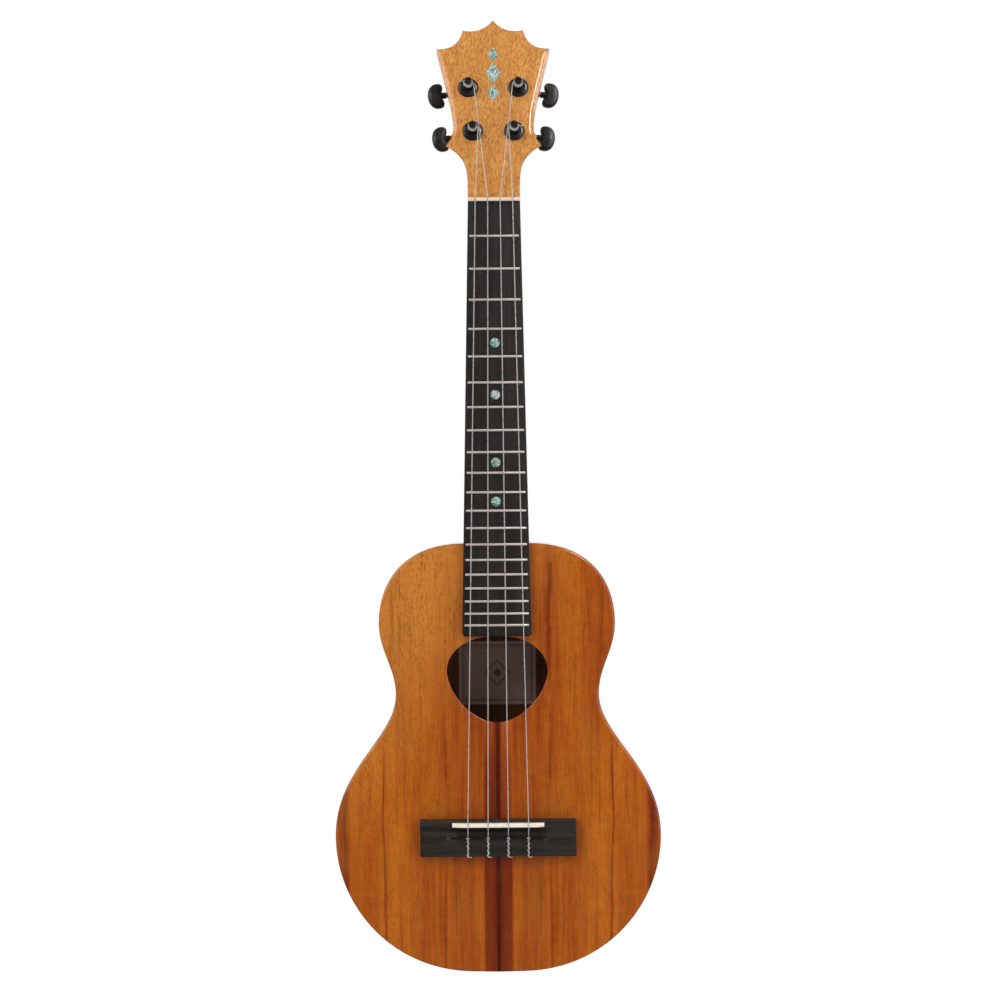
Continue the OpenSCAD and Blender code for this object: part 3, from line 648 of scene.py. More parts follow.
def label_paper(name, low, high):
    """Laid paper with a plain double border and a small ring of lozenges; low and high in mm."""
    s = Shader(name)
    cx, cz = (low[0] + high[0]) / 2, (low[1] + high[1]) / 2
    hx, hz = (high[0] - low[0]) / 2, (high[1] - low[1]) / 2
    ax = s.size_of(s.minus(s.x, cx))
    az = s.size_of(s.minus(s.z, cz))
    edge = s.math("MINIMUM", s.minus(hx, ax), s.minus(hz, az))
    line = s.math("MAXIMUM", band(s, edge, 3.0, 0.35), band(s, edge, 4.4, 0.15))
    diamond = s.plus(ax, az)
    motif = s.math("MAXIMUM", band(s, diamond, 9.0, 0.5), s.math("LESS_THAN", diamond, 3.2))
    ink = s.math("MAXIMUM", line, motif)
    laid = s.noise(s.vec(s.times(s.x, 0.2), s.y, s.times(s.z, 2.5)), 1.0, 3.0)
    paper = s.mix(laid, (0.34, 0.21, 0.17), (0.44, 0.29, 0.24))
    s.set(Base_Color=s.mix(s.times(ink, 0.7), paper, (0.05, 0.02, 0.012)))
    s.set(Roughness=s.fit(laid, 0.0, 1.0, 0.75, 0.9))
    s.bump(laid, 0.03, 0.5)
    return s.mat


def band(s, value, middle, half):
    """1 where value is within half of middle."""
    return s.math("LESS_THAN", s.size_of(s.minus(value, middle)), half)


def from_seam(s):
    return s.size_of(s.x)


def make_materials():
    up = lambda s: s.z
    m = {}
    m["top"] = koa("koa_top", from_seam, up, bookmatched_bands)
    m["back"] = koa("koa_back", from_seam, up, plain_bands, 21.3)
    m["side"] = koa("koa_side", lambda s: s.y, lambda s: s.plus(s.x, s.z), plain_bands, 31.9)
    m["head"] = head_veneer("koa_head")
    m["neck"] = plain_wood("neck_wood", (0.20, 0.062, 0.02), (0.40, 0.17, 0.06),
                           lambda s: s.madd(s.y, 0.4, s.x), up, 0.36, coat=0.6,
                           fine=0.9)
    m["dark"] = plain_wood("dark_wood", (0.008, 0.006, 0.005), (0.022, 0.017, 0.014),
                           lambda s: s.plus(s.x, s.times(s.y, 0.6)), up, 0.50,
                           fine=1.3, pores_to=(0.005, 0.004, 0.003))
    m["bridge"] = plain_wood("bridge_wood", (0.010, 0.008, 0.007), (0.034, 0.026, 0.021),
                             lambda s: s.z, lambda s: s.x, 0.42, fine=1.1,
                             pores_to=(0.005, 0.004, 0.003))
    # Painted shade: the wood inside the body (braces, blocks, linings and the back's inner face)
    # gets darker colours than it really has, standing in for the dim light inside the hollow body
    m["brace"] = plain_wood("brace_wood", (0.12, 0.06, 0.026), (0.20, 0.115, 0.055),
                            lambda s: s.plus(s.x, s.y), up, 0.75)
    m["inside"] = plain_wood("koa_inside_shaded", (0.09, 0.026, 0.009), (0.17, 0.055, 0.018),
                             from_seam, up, 0.7)
    m["bone"] = hard_finish("bone", (0.72, 0.64, 0.50), (0.82, 0.76, 0.63), 0.30, coat=0.3)
    m["nut"] = hard_finish("nut_bone", (0.62, 0.48, 0.35), (0.74, 0.60, 0.46), 0.34, coat=0.2)
    m["fret"] = hard_finish("fret_wire", (0.70, 0.60, 0.54), (0.82, 0.73, 0.67), 0.38, metal=0.5,
                            grain=0.3, depth=0.003)
    m["shell"] = shell_inlay("pearl_shell")
    m["string"] = monofilament("string_line")
    m["black"] = hard_finish("black_hardware", (0.010, 0.010, 0.011), (0.022, 0.022, 0.024), 0.34,
                             metal=0.4, coat=0.3)
    m["button"] = hard_finish("black_button", (0.007, 0.007, 0.007), (0.013, 0.0125, 0.012), 0.34)
    m["steel"] = hard_finish("shaft_steel", (0.42, 0.42, 0.44), (0.58, 0.58, 0.60), 0.32, metal=1.0)
    m["brass"] = hard_finish("gear_brass", (0.58, 0.42, 0.16), (0.74, 0.56, 0.25), 0.36, metal=1.0)
    lo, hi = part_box("label")
    m["paper"] = label_paper("label_paper", (lo.x / MM, lo.z / MM), (hi.x / MM, hi.z / MM))
    return m


M = make_materials()

# ---------- sound box ----------

BODY = mirrored(half_body())
HOLE = mirrored(half_hole())
EDGE_R = 1.9


def make_plates():
    top = Solid()
    top.rounded(BODY, -PLATE_T, 0, 0.0, EDGE_R, hole=HOLE, hole_r=0.7)
    piece("soundboard_koa", top, at, "top", ["soundboard"])
    back = Solid()
    back.rounded(BODY, -BODY_DEPTH, PLATE_T - BODY_DEPTH, EDGE_R, 0.0)
    inside = PLATE_T - BODY_DEPTH - 1e-6
    back.mats = [int(all(back.verts[i][2] > inside for i in f)) for f in back.faces]
    piece("back_koa", back, at, "back", ["back_plate"], second="inside")


SIDE_NODES = ("side_lower_", "side_upper_")


def make_sides():
    for hand, sign in (("left", -1), ("right", 1)):
        half = half_body()
        inner = [(max(0.0, x), y) for x, y in moved_in(mirrored(half), SIDE_T)[:len(half)]]
        strip = Solid()
        loop = [(sign * x, y) for x, y in half + list(reversed(inner))]
        low, high = PLATE_T - BODY_DEPTH, -PLATE_T
        strip.skin([[(x, y, low) for x, y in loop], [(x, y, high) for x, y in loop]], caps=False)
        n = len(half)
        for z in (low, high):
            rim = [(sign * x, y, z) for x, y in half] + [(sign * x, y, z) for x, y in inner]
            strip.add(rim, [(i, i + 1, n + i + 1, n + i) for i in range(n - 1)])
        piece("side_" + hand + "_koa", strip, at, "side", [node + hand for node in SIDE_NODES])


# ---------- neck and head ----------


def neck_ring(y, depth, n=28, top=0.0):
    """D-shaped cross-section of the neck."""
    hw = board_half(y)
    ring = [(hw, y, top)]
    for i in range(n + 1):
        a = pi * i / n
        c = cos(a)
        x = hw * copysign(abs(c) ** 0.9, c)
        ring.append((x, y, -depth * max(0.0, sin(a)) ** 0.85 - 0.01))
    return ring + [(-hw, y, top)]


def heel_depth(y):
    """Depth of the neck wood under the fretboard, with the heel's hollow sweep."""
    deep = NECK_DEPTH + NECK_SWELL
    front = BODY_LEN + HEEL_LAND
    if y >= front + HEEL_RUN:
        return NECK_DEPTH + NECK_SWELL * (NUT_BACK - y) / (NUT_BACK - front - HEEL_RUN)
    if y <= front:
        return deep + HEEL_DROP
    return deep + HEEL_DROP * (1 - sqrt(1 - (1 - (y - front) / HEEL_RUN) ** 2))


def make_neck():
    """The shaft with its heel, run out behind the head, and the head's own wood."""
    s = Solid()
    front = BODY_LEN + HEEL_LAND
    ys = [NUT_FRONT + 2 - i * 12 for i in range(16)]
    ys = [y for y in ys if y > front + HEEL_RUN + 3]
    ys += [front + HEEL_RUN * (1 - sin(pi / 2 * k / 20)) for k in range(21)]
    ys += [BODY_LEN + 6, BODY_LEN - 1.2]
    cut = BODY_DEPTH - PLATE_T
    rings = [lead_ring(NUT_BACK + 4.4 * k) for k in range(9, 0, -1)]
    for y in ys:
        ring = neck_ring(y, heel_depth(y))
        rings.append([(x, yy, max(z, -cut)) for x, yy, z in ring])
    s.skin(rings)
    s.verts = [at(*v) for v in s.verts]
    core = Solid()
    outline = mirrored(half_head())
    rings = [head_back_ring(outline, edge, w) for edge, w in
             ((1.0, -HEAD_T), (0.4, -HEAD_T + 0.25), (0.1, -HEAD_T + 0.7), (0.0, -HEAD_T + 1.4),
              (0.0, -8.0), (0.0, -5.0), (0.0, -FACE_T))]
    core.skin(rings, caps=False)
    for ring, up in ((rings[0], False), (rings[-1], True)):
        core.flat([p[:2] for p in ring], ring[0][2], up)
    s.add([on_head(*v) for v in core.verts], core.faces)
    piece("neck_wood", s, in_place, "neck", ["neck"])


def lead_ring(y):
    """Ring of the neck's round back carried on behind the head until it sinks into it."""
    depth = NECK_DEPTH + LEAD_SWELL * smooth((y - NUT_BACK - 6.3) / 36.0)
    face = HEAD_LIFT - (y - NUT_BACK) * tan(HEAD_TILT) - FACE_T - 0.4
    return [(0.985 * x, yy, min(z, face)) for x, yy, z in neck_ring(y, depth)]


def head_back_ring(outline, edge, w):
    """The head's outline at depth w: drawn in by edge, and carved away under the flare."""
    deep = (-w - FACE_T) / (HEAD_T - FACE_T)

    def inset(p):
        return edge + 6.5 * deep * deep * smooth((26.0 - p[1]) / 16.0)
    ring = []
    for (x, y), (_, u) in zip(moved_in(outline, inset), outline):
        lift = 7.0 * deep * smooth((u - 8.0) / 14.0) * smooth((53.0 - u) / 13.7)
        ring.append((x, y + lift, w))
    return ring


def make_heel_cap():
    half, r = 12.0, 5.0
    y0, y1 = BODY_LEN - 1.0, BODY_LEN + HEEL_LAND + 0.3
    pts = [(-half, y0), (half, y0)]
    pts += corner(half - r, y1 - r, r, 0, 9) + corner(r - half, y1 - r, r, 90, 9)
    s = Solid()
    s.rounded(pts, -BODY_DEPTH, PLATE_T - BODY_DEPTH, 0.5, 0.0, 4)
    piece("heel_cap_wood", s, at, "dark", ["heel_cap"])


def make_faceplate():
    outline = mirrored(half_head())

    def bevel(p):
        """Wide on the long sides, narrow on the scalloped top and along the flare."""
        return 1.1 + 2.2 * smooth((p[1] - 40) / 12) * smooth((114.0 - p[1]) / 1.2)
    s = Solid()
    top = FACE_T - 0.25
    levels = [(0.0, -FACE_T), (0.0, -top), (0.04, -top + 0.06), (0.55, -0.42), (0.65, -0.27),
              (0.75, -0.15), (0.85, -0.07), (0.93, -0.025), (1.0, 0.0)]
    rings = []
    for share, z in levels:
        rings.append([(x, y, z) for x, y in moved_in(outline, lambda p: share * bevel(p))])
    s.skin(rings, caps=False)
    s.flat([p[:2] for p in rings[0]], -FACE_T, False)
    s.flat([p[:2] for p in rings[-1]], 0.0, True)
    piece("head_face_koa", s, on_head, "head", ["head_faceplate"], angle=15.0)


def make_inlay():
    s = Solid()
    for middle, tall, wide in ((79.2, 6.2, 4.2), (94, 8, 5.4), (108.2, 5.6, 3.8)):
        s.rounded([(0, middle - tall), (wide, middle), (0, middle + tall), (-wide, middle)],
                  -0.8, 0.02, 0.0, 0.02, 1)
    piece("head_inlay_shell", s, on_head, "shell", ["head_inlay"])


# ---------- fretboard ----------


def make_fretboard():
    w, r = board_half(BOARD_END), 2.5
    pts = [(NUT_W / 2, NUT_FRONT), (-NUT_W / 2, NUT_FRONT)]
    pts += corner(r - w, BOARD_END + r, r, 180, 6) + corner(w - r, BOARD_END + r, r, 270, 6)
    s = Solid()
    s.rounded(pts, 0, BOARD_T, 0.0, 0.5, 3)
    piece("fretboard_wood", s, at, "dark", ["fretboard"])


def make_frets():
    s = Solid()
    steps = 8
    for n in range(1, FRETS + 1):
        middle = fret_y(n)
        half = board_half(middle) - FRET_INSET
        rings = []
        for x, k in ((-half, 0.25), (-half + 0.5, 0.85), (-half + 0.9, 1.0),
                     (half - 0.9, 1.0), (half - 0.5, 0.85), (half, 0.25)):
            ring = []
            for i in range(steps + 1):
                a = pi * i / steps
                ring.append((x, middle + FRET_W / 2 * cos(a) * (0.5 + 0.5 * k),
                             BOARD_T - 0.05 + (FRET_H + 0.05) * k * sin(a) ** 0.8))
            rings.append(ring)
        s.skin(rings)
    piece("fret_wires", s, at, "fret", ["frets"])


def make_dots():
    s = Solid()
    side = Solid()
    for n in DOTTED:
        y = (fret_y(n) + fret_y(n - 1)) / 2
        s.turned([(0, BOARD_T - DOT_T), (DOT_R, BOARD_T - DOT_T), (DOT_R, BOARD_T),
                  (DOT_R - 0.05, BOARD_T + 0.02), (0, BOARD_T + 0.02)], 40, centre=(0, y, 0))
        x = -board_half(y)
        side.turned([(0, x + 1.5), (SIDE_DOT_R, x + 1.5), (SIDE_DOT_R, x), (0, x - 0.02)], 24,
                    axis="x", centre=(0, y, BOARD_T / 2))
    piece("position_dot_shell", s, at, "shell", ["position_dots"])
    piece("side_dot_bone", side, at, "bone", ["side_dots"])


def place_of(name, pitch):
    side, _, _, place = TUNERS[name]
    return side * place * pitch


def make_nut():
    s = Solid()
    xs = {-NUT_W / 2, NUT_W / 2, -NUT_W / 2 + 0.5, NUT_W / 2 - 0.5}
    slots = [place_of(n, NUT_PITCH) for n in TUNERS]
    for c in slots:
        xs |= {c + d for d in (-0.9, -0.46, -0.4, -0.2, 0, 0.2, 0.4, 0.46, 0.9)}
    rings = []
    for x in sorted(xs):
        near = min(abs(x - c) for c in slots)
        top = NUT_H
        if near < 0.45:
            top = NUT_STRING_Z - sqrt(max(0.0, 0.42 ** 2 - near ** 2))
        if abs(x) > NUT_W / 2 - 0.3:
            top -= 0.5
        rings.append(block_section(x, NUT_FRONT, NUT_BACK, 0.0, top, 0.6))
    s.skin(rings)
    piece("nut_bone", s, at, "nut", ["nut"], angle=50)


def block_section(x, y0, y1, z0, z1, r, steps=5):
    """Upright cross-section of a bar that runs along x, with its top edges rounded."""
    ring = [(x, y0, z0), (x, y1, z0)]
    for cy, start in ((y1 - r, 0), (y0 + r, 90)):
        for i in range(steps + 1):
            a = radians(start + 90 * i / steps)
            ring.append((x, cy + r * cos(a), z1 - r + r * sin(a)))
    return ring


# ---------- bridge ----------


def bridge_top(x, y):
    """Height of the bridge's top surface."""
    z = BRIDGE_H
    across = smooth((HOLLOW_HALF + 3.0 - abs(x)) / 9.0)
    dip = smooth((y - TIE_FRONT + 0.6) / 1.4) * smooth((HOLLOW_END + 1.6 - y) / 3.4)
    z -= (BRIDGE_H - HOLLOW_FLOOR) * dip * across
    r = 0.9
    for d in (y - BRIDGE_LOW, BRIDGE_HIGH - y, BRIDGE_W / 2 - abs(x)):
        if d < r:
            z -= r - sqrt(max(0.0, r * r - (r - d) ** 2))
    return z


def make_bridge():
    xs = [0.0]
    for step, end in ((4.0, 26.0), (0.5, 38.0), (3.0, 52.0), (0.25, BRIDGE_W / 2)):
        while xs[-1] + step <= end + 1e-6:
            xs.append(xs[-1] + step)
    xs[-1] = BRIDGE_W / 2
    xs = [-x for x in reversed(xs[1:])] + xs
    ys = [BRIDGE_LOW + d for d in (0, 0.1, 0.3, 0.6, 0.9)]
    ys += [88.0, 91.0, 93.8]
    ys += [94.3 + 0.25 * i for i in range(33)]
    ys += [105.0] + [BRIDGE_HIGH - d for d in (0.9, 0.6, 0.3, 0.1, 0)]
    s = Solid()
    rings = []
    for x in xs:
        top = [(x, y, bridge_top(x, y)) for y in reversed(ys)]
        rings.append([(x, BRIDGE_LOW, 0.0), (x, BRIDGE_HIGH, 0.0)] + top)
    s.skin(rings)
    piece("bridge_wood", s, at, "bridge", ["bridge"], angle=50)


def make_saddle():
    top = SADDLE_STRING_Z - STRING_R
    half = SADDLE_LEN / 2
    s = Solid()
    rings = []
    for x in [-half + SADDLE_LEN * i / 64 for i in range(65)]:
        end = half - abs(x)
        z = BRIDGE_H + 0.8 + (top - BRIDGE_H - 0.8) * smooth(end / 6 + 0.1)
        rings.append(block_section(x, SADDLE_Y - SADDLE_T / 2, SADDLE_Y + SADDLE_T / 2,
                                   BRIDGE_H - 3.5, z, 1.1))
    s.skin(rings)
    piece("saddle_bone", s, at, "bone", ["saddle"], angle=50)


# ---------- strings ----------


def rounded_path(points, radius, steps=5):
    """The points joined by straight runs, with each corner rounded."""
    pts = [Vector(p) for p in points]
    out = [pts[0]]
    for a, b, c in zip(pts, pts[1:], pts[2:]):
        u, v = (a - b), (c - b)
        r = min(radius, 0.45 * u.length, 0.45 * v.length)
        p, q = b + u.normalized() * r, b + v.normalized() * r
        for i in range(steps + 1):
            t = i / steps
            out.append((1 - t) ** 2 * p + 2 * t * (1 - t) * b + t * t * q)
    return out + [pts[-1]]


OVER_TIE = BRIDGE_H + STRING_R  # height of a string's middle on top of the tie block


def string_route(name):
    """From the post over nut and saddle, down through the tie block and back over its top."""
    side, px, pu, _ = TUNERS[name]
    xs, xn = place_of(name, SADDLE_PITCH), place_of(name, NUT_PITCH)
    rear = BRIDGE_LOW - 0.45
    return [head_mm(side * (px - WOUND_R - STRING_R - 0.1), pu, POST_STRING_W),
            (xn, NUT_BACK - 0.3, NUT_STRING_Z),
            (xn, NUT_FRONT, NUT_STRING_Z - 0.02),
            (xs, SADDLE_Y + 0.7, SADDLE_STRING_Z),
            (xs, SADDLE_Y - 0.7, SADDLE_STRING_Z - 0.05),
            (xs, TIE_FRONT + 0.3, TIE_HOLE_Z),
            (xs, rear, TIE_HOLE_Z),
            (xs, rear, OVER_TIE - 0.4),
            (xs, BRIDGE_LOW + 0.8, OVER_TIE),
            (xs, TIE_FRONT - 0.4, OVER_TIE)]


def tie_wraps(xs):
    """The string's end wound round itself along the tie block, with its cut end."""
    wrap = []
    turns, length, steps = 3.5, TIE_FRONT - BRIDGE_LOW - 1.4, 84
    for i in range(steps + 1):
        t = i / steps
        a = 2 * pi * turns * t + 0.6
        r = 0.62 + 0.12 * sin(9.0 * t + xs)
        wrap.append((xs + r * cos(a), TIE_FRONT - 0.5 - t * length,
                     OVER_TIE + 0.15 + 0.55 * abs(sin(a)) * r))
    return wrap + [(wrap[-1][0] + 0.6, BRIDGE_LOW - 0.1, OVER_TIE),
                   (xs + 1.6, BRIDGE_LOW - 0.4, OVER_TIE - 0.3),
                   (xs + 2.5, BRIDGE_LOW - 0.3, OVER_TIE + 0.1)]


def tie_loop(xs):
    """The loop that holds the string at the front of the tie block."""
    angles = [2 * pi * i / 16 for i in range(19)]
    return [(xs + 0.95 * cos(a), TIE_FRONT + 0.3 + 0.25 * sin(2 * a), OVER_TIE - 0.1 + 0.8 * sin(a))
            for a in angles]


def make_string(name):
    xs = place_of(name, SADDLE_PITCH)
    s = Solid()
    s.tube(rounded_path(string_route(name), 0.9), STRING_R)
    s.tube(tie_wraps(xs), STRING_R * 0.92, 8)
    s.tube(tie_loop(xs), STRING_R * 0.95, 8)
    piece("string_line_" + name, s, at, "string", ["string_" + name], angle=60)


# ---------- tuners ----------


def make_bushing(name):
    s = Solid()
    r0 = POST_R + RUN_GAP
    s.ring_body([(r0, -BUSHING_SLEEVE), (POST_HOLE_R, -BUSHING_SLEEVE), (POST_HOLE_R, 0.0),
                 (BUSHING_R, 0.0), (BUSHING_R, 0.45), (BUSHING_R - 0.25, 0.8),
                 (BUSHING_R - 0.9, 1.15), (5.5, 1.35), (4.9, 1.4), (4.75, 1.6), (4.7, 2.25),
                 (4.45, 2.5), (3.5, 2.5), (r0, 2.2)], 64)
    piece("bushing_" + name + "_ring", s, on_tuner(name), "black", ["bushing_" + name])


def post_ring(r, h, notch, sides=48):
    """One level of a post: flutes as deep as notch says, and the screwdriver slot in its top."""
    ring = []
    for i in range(sides):
        a = 2 * pi * i / sides
        k = 1 - 0.05 * notch * (1 if i % 4 < 2 else 0)
        x, y = r * k * cos(a), r * k * sin(a)
        in_slot = h >= POST_TOP - 0.75 and abs(y) < 0.5
        ring.append((x, y, min(h, POST_TOP - 0.9) if in_slot else h))
    return ring


def make_post(name):
    s = Solid()
    bottom, shoulder = -HEAD_T - WORM_DROP - 2.0, -HEAD_T - WORM_DROP + 1.4
    s.skin([post_ring(*level) for level in (
        (0.0, bottom, 0), (2.0, bottom, 0), (2.0, shoulder, 0), (POST_R, shoulder, 0),
        (POST_R, POST_BASE_TOP - 0.2, 0), (POST_R - 0.2, POST_BASE_TOP, 0),
        (WAIST_R, WINDING_LOW - 0.6, 0), (WAIST_R, WINDING_HIGH + 0.3, 0),
        (2.55, WINDING_HIGH + 0.8, 0), (2.6, WINDING_HIGH + 1.1, 0), (2.6, POST_TOP - 0.7, 1),
        (2.35, POST_TOP - 0.2, 1), (2.0, POST_TOP, 1), (1.0, POST_TOP, 0.3), (0.0, POST_TOP, 0))])
    piece("post_" + name + "_turned", s, on_tuner(name), "black", ["post_" + name],
          "roller_" + name, angle=40)


def make_winding(name):
    s = Solid()
    first, last = WINDING_LOW + STRING_R, WINDING_HIGH - STRING_R
    turns = (last - first) / 0.68
    n = int(turns * 28)
    for r in (WAIST_R + STRING_R, WOUND_R - STRING_R - 0.02):
        path = []
        for i in range(n + 1):
            a = 2 * pi * turns * i / n
            path.append((r * cos(a), r * sin(a), first + (last - first) * i / n))
        s.tube(path, STRING_R * 0.97, 8)
    ca, sa = cos(TAIL_ANGLES[name]), sin(TAIL_ANGLES[name])
    tail = [(0, 0, TAIL_HOLE_W), (1.5 * ca, 1.5 * sa, TAIL_HOLE_W),
            (3.2 * ca, 3.2 * sa, TAIL_HOLE_W + 0.1), (4.6 * ca, 4.6 * sa, TAIL_HOLE_W + 0.5),
            (6.2 * ca - 0.4 * sa, 6.2 * sa + 0.4 * ca, TAIL_HOLE_W + 1.1)]
    s.tube(rounded_path(tail, 0.8, 3), STRING_R * 0.97, 8)
    piece("winding_" + name + "_turns", s, on_tuner(name), "string", ["winding_" + name],
          "roller_" + name, angle=60)


def half_bean():
    pts = [(28.7, 0.0)] + bezier((28.7, 0), (28.7, 5.6), (25.9, 9.2), (21.6, 9.2), 16)
    pts += bezier((21.6, 9.2), (18.9, 9.2), (17.4, 8.2), (17.4, 5.8), 10)
    return pts + bezier((17.4, 5.8), (17.4, 3.8), (18.8, 3), (18.8, 0), 8)


BEAN_MIDDLE, BEAN_HALF = (23.0, 0.0), 9.2


def make_button(name):
    """Kidney-shaped button with a rounded rim and a low ridge, on its boss."""
    half = half_bean()
    bean = half + [(x, -y) for x, y in reversed(half[1:-1])]
    s = Solid()
    rim_in, rim_z, steps = 1.1, 2.5, 8
    upper = []
    for i in range(steps + 1):
        a = pi / 2 * i / steps
        loop = moved_in(bean, rim_in * (1 - cos(a)))
        upper.append([(x, y, rim_z * sin(a)) for x, y in loop])
    shoulder = upper[-1]
    for share in (0.2, 0.4, 0.6, 0.8, 0.94):
        ring = []
        for x, y, _ in shoulder:
            px = x + (BEAN_MIDDLE[0] - x) * share
            py = y + (BEAN_MIDDLE[1] - y) * share
            rise = (BUTTON_HALF_T - rim_z) * min(1.0, 2.5 * share)
            ring.append((px, py, rim_z + rise * (1 - abs(py) / BEAN_HALF)))
        upper.append(ring)
    lower = [[(x, y, -z) for x, y, z in ring] for ring in reversed(upper[1:])]
    s.skin(lower + upper)
    boss = COLLAR_END + 1.2
    s.turned([(0, boss), (2.0, boss), (2.2, boss + 0.2), (2.3, boss + 1.0), (2.2, boss + 2.0),
              (BOSS_R, boss + 3.2), (BOSS_R, SHAFT_END), (0, SHAFT_END)], 40, axis="x")
    piece("button_" + name + "_bean", s, on_shaft(name), "button", ["button_" + name],
          "key_" + name)


def make_housing(name):
    s = Solid()
    outer = round_rect(CASE_X, CASE_U, CASE_CORNER_R)
    r_in = 4.0
    bore = corner(0.0, 0.0, r_in, 0, 40, 360)[:-1]
    s.rounded(outer, -HEAD_T - CASE_DEPTH, -HEAD_T - CASE_FLOOR, 0.25, 0.0, 3, hole=bore)
    floor_bore = [(x * (POST_R + RUN_GAP) / r_in, y * (POST_R + RUN_GAP) / r_in) for x, y in bore]
    s.rounded(outer, -HEAD_T - CASE_FLOOR, -HEAD_T, 0.0, 0.2, 3, hole=floor_bore)
    ear = [(EAR_R, EAR_U + 5.0), (-EAR_R, EAR_U + 5.0)]
    ear += corner(0.0, EAR_U, EAR_R, 180, 15, 180)
    s.rounded(ear, -HEAD_T - CASE_FLOOR, -HEAD_T, 0.3, 0.0, 3)
    shaft_z = -HEAD_T - WORM_DROP
    s.ring_body([(1.95, 6.5), (COLLAR_R, 6.5), (COLLAR_R, 12.2), (COLLAR_R - 0.35, 12.4),
                 (COLLAR_R - 0.35, 12.9), (COLLAR_R, 13.1), (COLLAR_R - 0.1, COLLAR_END - 0.3),
                 (COLLAR_R - 0.5, COLLAR_END), (1.95, COLLAR_END)], 48, axis="x",
                centre=(0, CENTRE_GAP, shaft_z))
    piece("housing_" + name + "_case", s, on_tuner(name), "black", ["housing_" + name])


def make_covers_and_screws():
    covers, screws = Solid(), Solid()
    for name in TUNERS:
        place = on_tuner(name)
        back = -HEAD_T - CASE_DEPTH
        lid = Solid()
        lid.rounded(round_rect(CASE_X, CASE_U, CASE_CORNER_R), back - COVER_T, back, 0.5, 0.0, 4)
        covers.add([place(*v) for v in lid.verts], lid.faces)
        pan = Solid()
        z = -HEAD_T - CASE_FLOOR
        pan.turned([(0, z - 0.55), (0.5, z - 0.6), (0.7, z - 1.08), (1.2, z - 1.1),
                    (1.8, z - 0.9), (2.2, z - 0.4), (2.2, z), (SCREW_R, z), (SCREW_R, z + 7.0),
                    (0, z + 8.0)], 32, centre=(0, EAR_U, 0))
        screws.add([place(*v) for v in pan.verts], pan.faces)
    piece("tuner_cover_plates", covers, in_place, "black", ["tuner_covers"])
    piece("tuner_screw_heads", screws, in_place, "black", ["tuner_screws"])


# ---------- CAD nodes that show as they are ----------


def dress_frame():
    """Materials for the CAD nodes whose shape is already right."""
    by_node = {n: M["brace"] for n in ("neck_block", "tail_block", "linings", "cross_braces",
                                       "fan_braces", "bridge_plate", "back_braces", "neck_dowels")}
    by_node["label"] = M["paper"]
    for name in TUNERS:
        by_node["worm_shaft_" + name] = M["steel"]
        by_node["gear_" + name] = M["brass"]
    for node, material in by_node.items():
        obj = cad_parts[node]
        obj.data.materials.clear()
        obj.data.materials.append(material)


# ---------- stage ----------

VIEW_SPAN = 0.7        # metres across the picture at the soundboard
VIEW_DISTANCE = 1.7
VIEW_MIDDLE = (2.8, 330.5, 0)  # point of the soundboard's plane in the middle of the picture
VIEW_ROLL = radians(0.4)
FLOOR_HALF, FLOOR_DROP = 1.45, 0.35
# Strengths of the white world for each kind of ray
CAMERA_WHITE, DIFFUSE_WHITE, GLOSS_WHITE = 1.0, 0.62, 0.02
# Name, place, size, power, aim and whether gloss sees it, for each area light
LIGHTS = [
    ("key", (-1.3, -1.6, 0.9), (1.0, 1.2), 26, (0, 0, -0.25), False),
    ("fill", (1.5, -1.3, 0.1), (0.8, 1.6), 14, (0, 0, -0.25), True),
    ("rim", (0.9, 0.5, 0.9), (0.8, 0.8), 10, (0, 0, -0.2), False),
]
# Direction, inner radius, outer radius and strength of each softbox that only gloss sees
SOFTBOXES = [
    ((0.0, 1.0, 0.0), 0.7, 1.1, 0.9),
    ((-0.68, -0.52, 0.50), 0.30, 0.45, 2.6),
    ((0.373, -0.714, 0.592), 0.09, 0.19, 24.0),
    ((0.68, -0.50, 0.54), 0.12, 0.25, 0.7),
]


def make_camera():
    data = bpy.data.cameras.new("camera")
    data.sensor_width = 36.0
    data.lens = data.sensor_width * VIEW_DISTANCE / VIEW_SPAN
    cam = bpy.data.objects.new("camera", data)
    cam.location = at(*VIEW_MIDDLE) + Vector((0, -VIEW_DISTANCE, 0))
    cam.rotation_euler = (pi / 2, VIEW_ROLL, 0)
    bpy.context.scene.collection.objects.link(cam)
    bpy.context.scene.camera = cam


def soft_light(name, where, size, power, aim, in_gloss):
    data = bpy.data.lights.new(name, "AREA")
    data.shape = "RECTANGLE"
    data.size, data.size_y = size
    data.energy = power
    lamp = bpy.data.objects.new(name, data)
    lamp.location = where
    lamp.visible_glossy = in_gloss
    lamp.rotation_euler = (Vector(aim) - Vector(where)).to_track_quat("-Z", "Y").to_euler()
    bpy.context.scene.collection.objects.link(lamp)


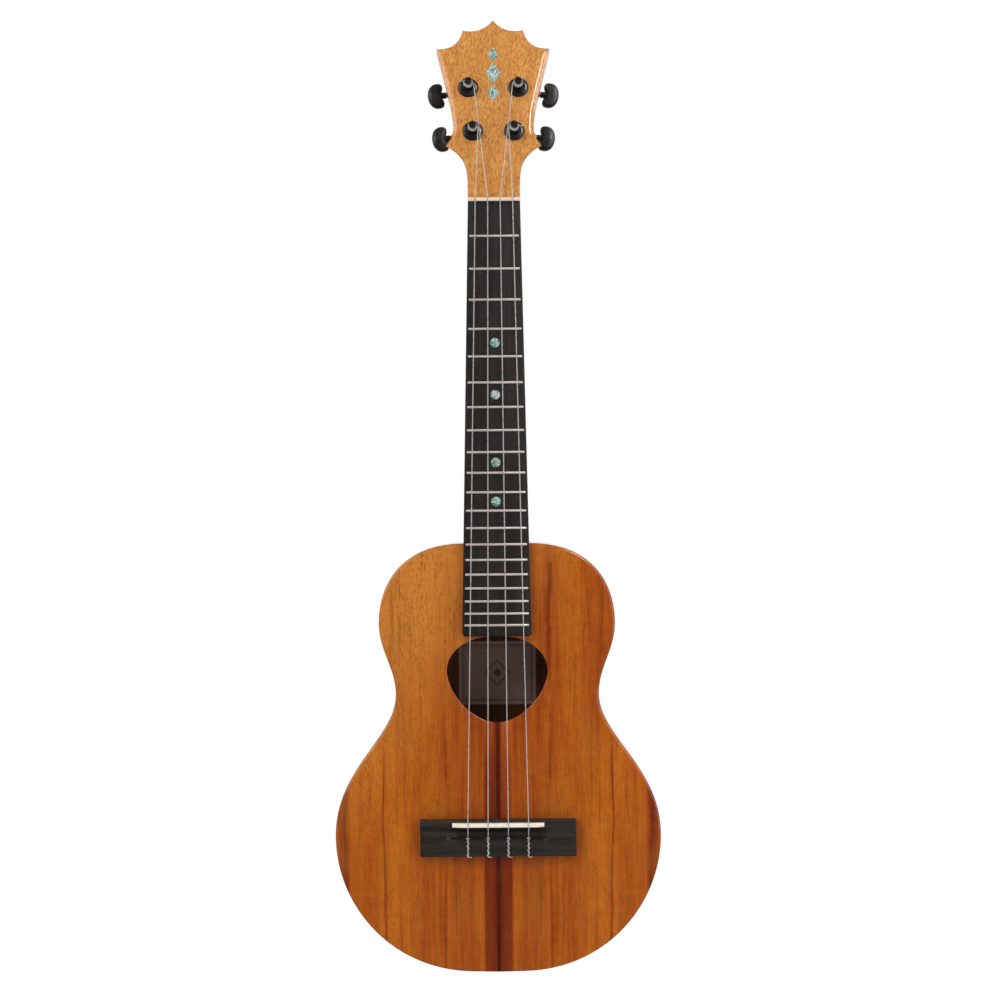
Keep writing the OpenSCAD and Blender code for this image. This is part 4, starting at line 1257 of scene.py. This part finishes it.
def make_floor():
    mesh = bpy.data.meshes.new("floor")
    low, r = TAIL_Z - FLOOR_DROP, FLOOR_HALF
    mesh.from_pydata([(-r, -r, low), (r, -r, low), (r, r, low), (-r, r, low)], [], [(0, 1, 2, 3)])
    s = Shader("floor_paper")
    grain = s.noise(s.xyz, 0.02, 3.0)
    s.set(Base_Color=s.mix(grain, (0.86, 0.86, 0.86), (0.92, 0.92, 0.92)), Roughness=0.9)
    mesh.materials.append(s.mat)
    obj = bpy.data.objects.new("floor", mesh)
    obj.visible_glossy = False
    bpy.context.scene.collection.objects.link(obj)


class Sky(Nodes):
    """The studio round the instrument, as strengths of the world in different directions."""

    def __init__(self):
        world = bpy.data.worlds.new("studio")
        bpy.context.scene.world = world
        super().__init__(world)
        self.back = self.tree.nodes["Background"]
        self.back.inputs["Color"].default_value = (1, 1, 1, 1)
        self.way = self.new("TexCoord").outputs["Generated"]
        self.rays = self.new("LightPath").outputs

    def patch(self, towards, near, far, value):
        """A soft bright patch of the studio in one direction; near and far are its radii."""
        gap = self.new("VectorMath", self.way, Vector(towards).normalized())
        gap.operation = "DISTANCE"
        return self.fit(gap.outputs["Value"], near, far, value, 0.0)


def make_sky():
    """White for the camera, soft for matt surfaces, and softboxes only where gloss sees them."""
    sky = Sky()
    gloss = GLOSS_WHITE
    for softbox in SOFTBOXES:
        gloss = sky.plus(sky.patch(*softbox), gloss)
    strength = sky.times(sky.rays["Is Glossy Ray"], gloss)
    strength = sky.madd(sky.rays["Is Diffuse Ray"], DIFFUSE_WHITE, strength)
    strength = sky.madd(sky.rays["Is Camera Ray"], CAMERA_WHITE, strength)
    sky.tree.links.new(strength, sky.back.inputs["Strength"])


def make_lights():
    for light in LIGHTS:
        soft_light(*light)


for make in (make_camera, make_plates, make_sides, make_neck, make_heel_cap, make_faceplate,
             make_inlay, make_fretboard, make_frets, make_dots, make_nut, make_bridge, make_saddle):
    make()
for tuner in TUNERS:
    for make in (make_string, make_bushing, make_post, make_winding, make_button, make_housing):
        make(tuner)
for make in (make_covers_and_screws, dress_frame, make_floor, make_sky, make_lights):
    make()
bpy.context.scene.view_settings.view_transform = "Standard"
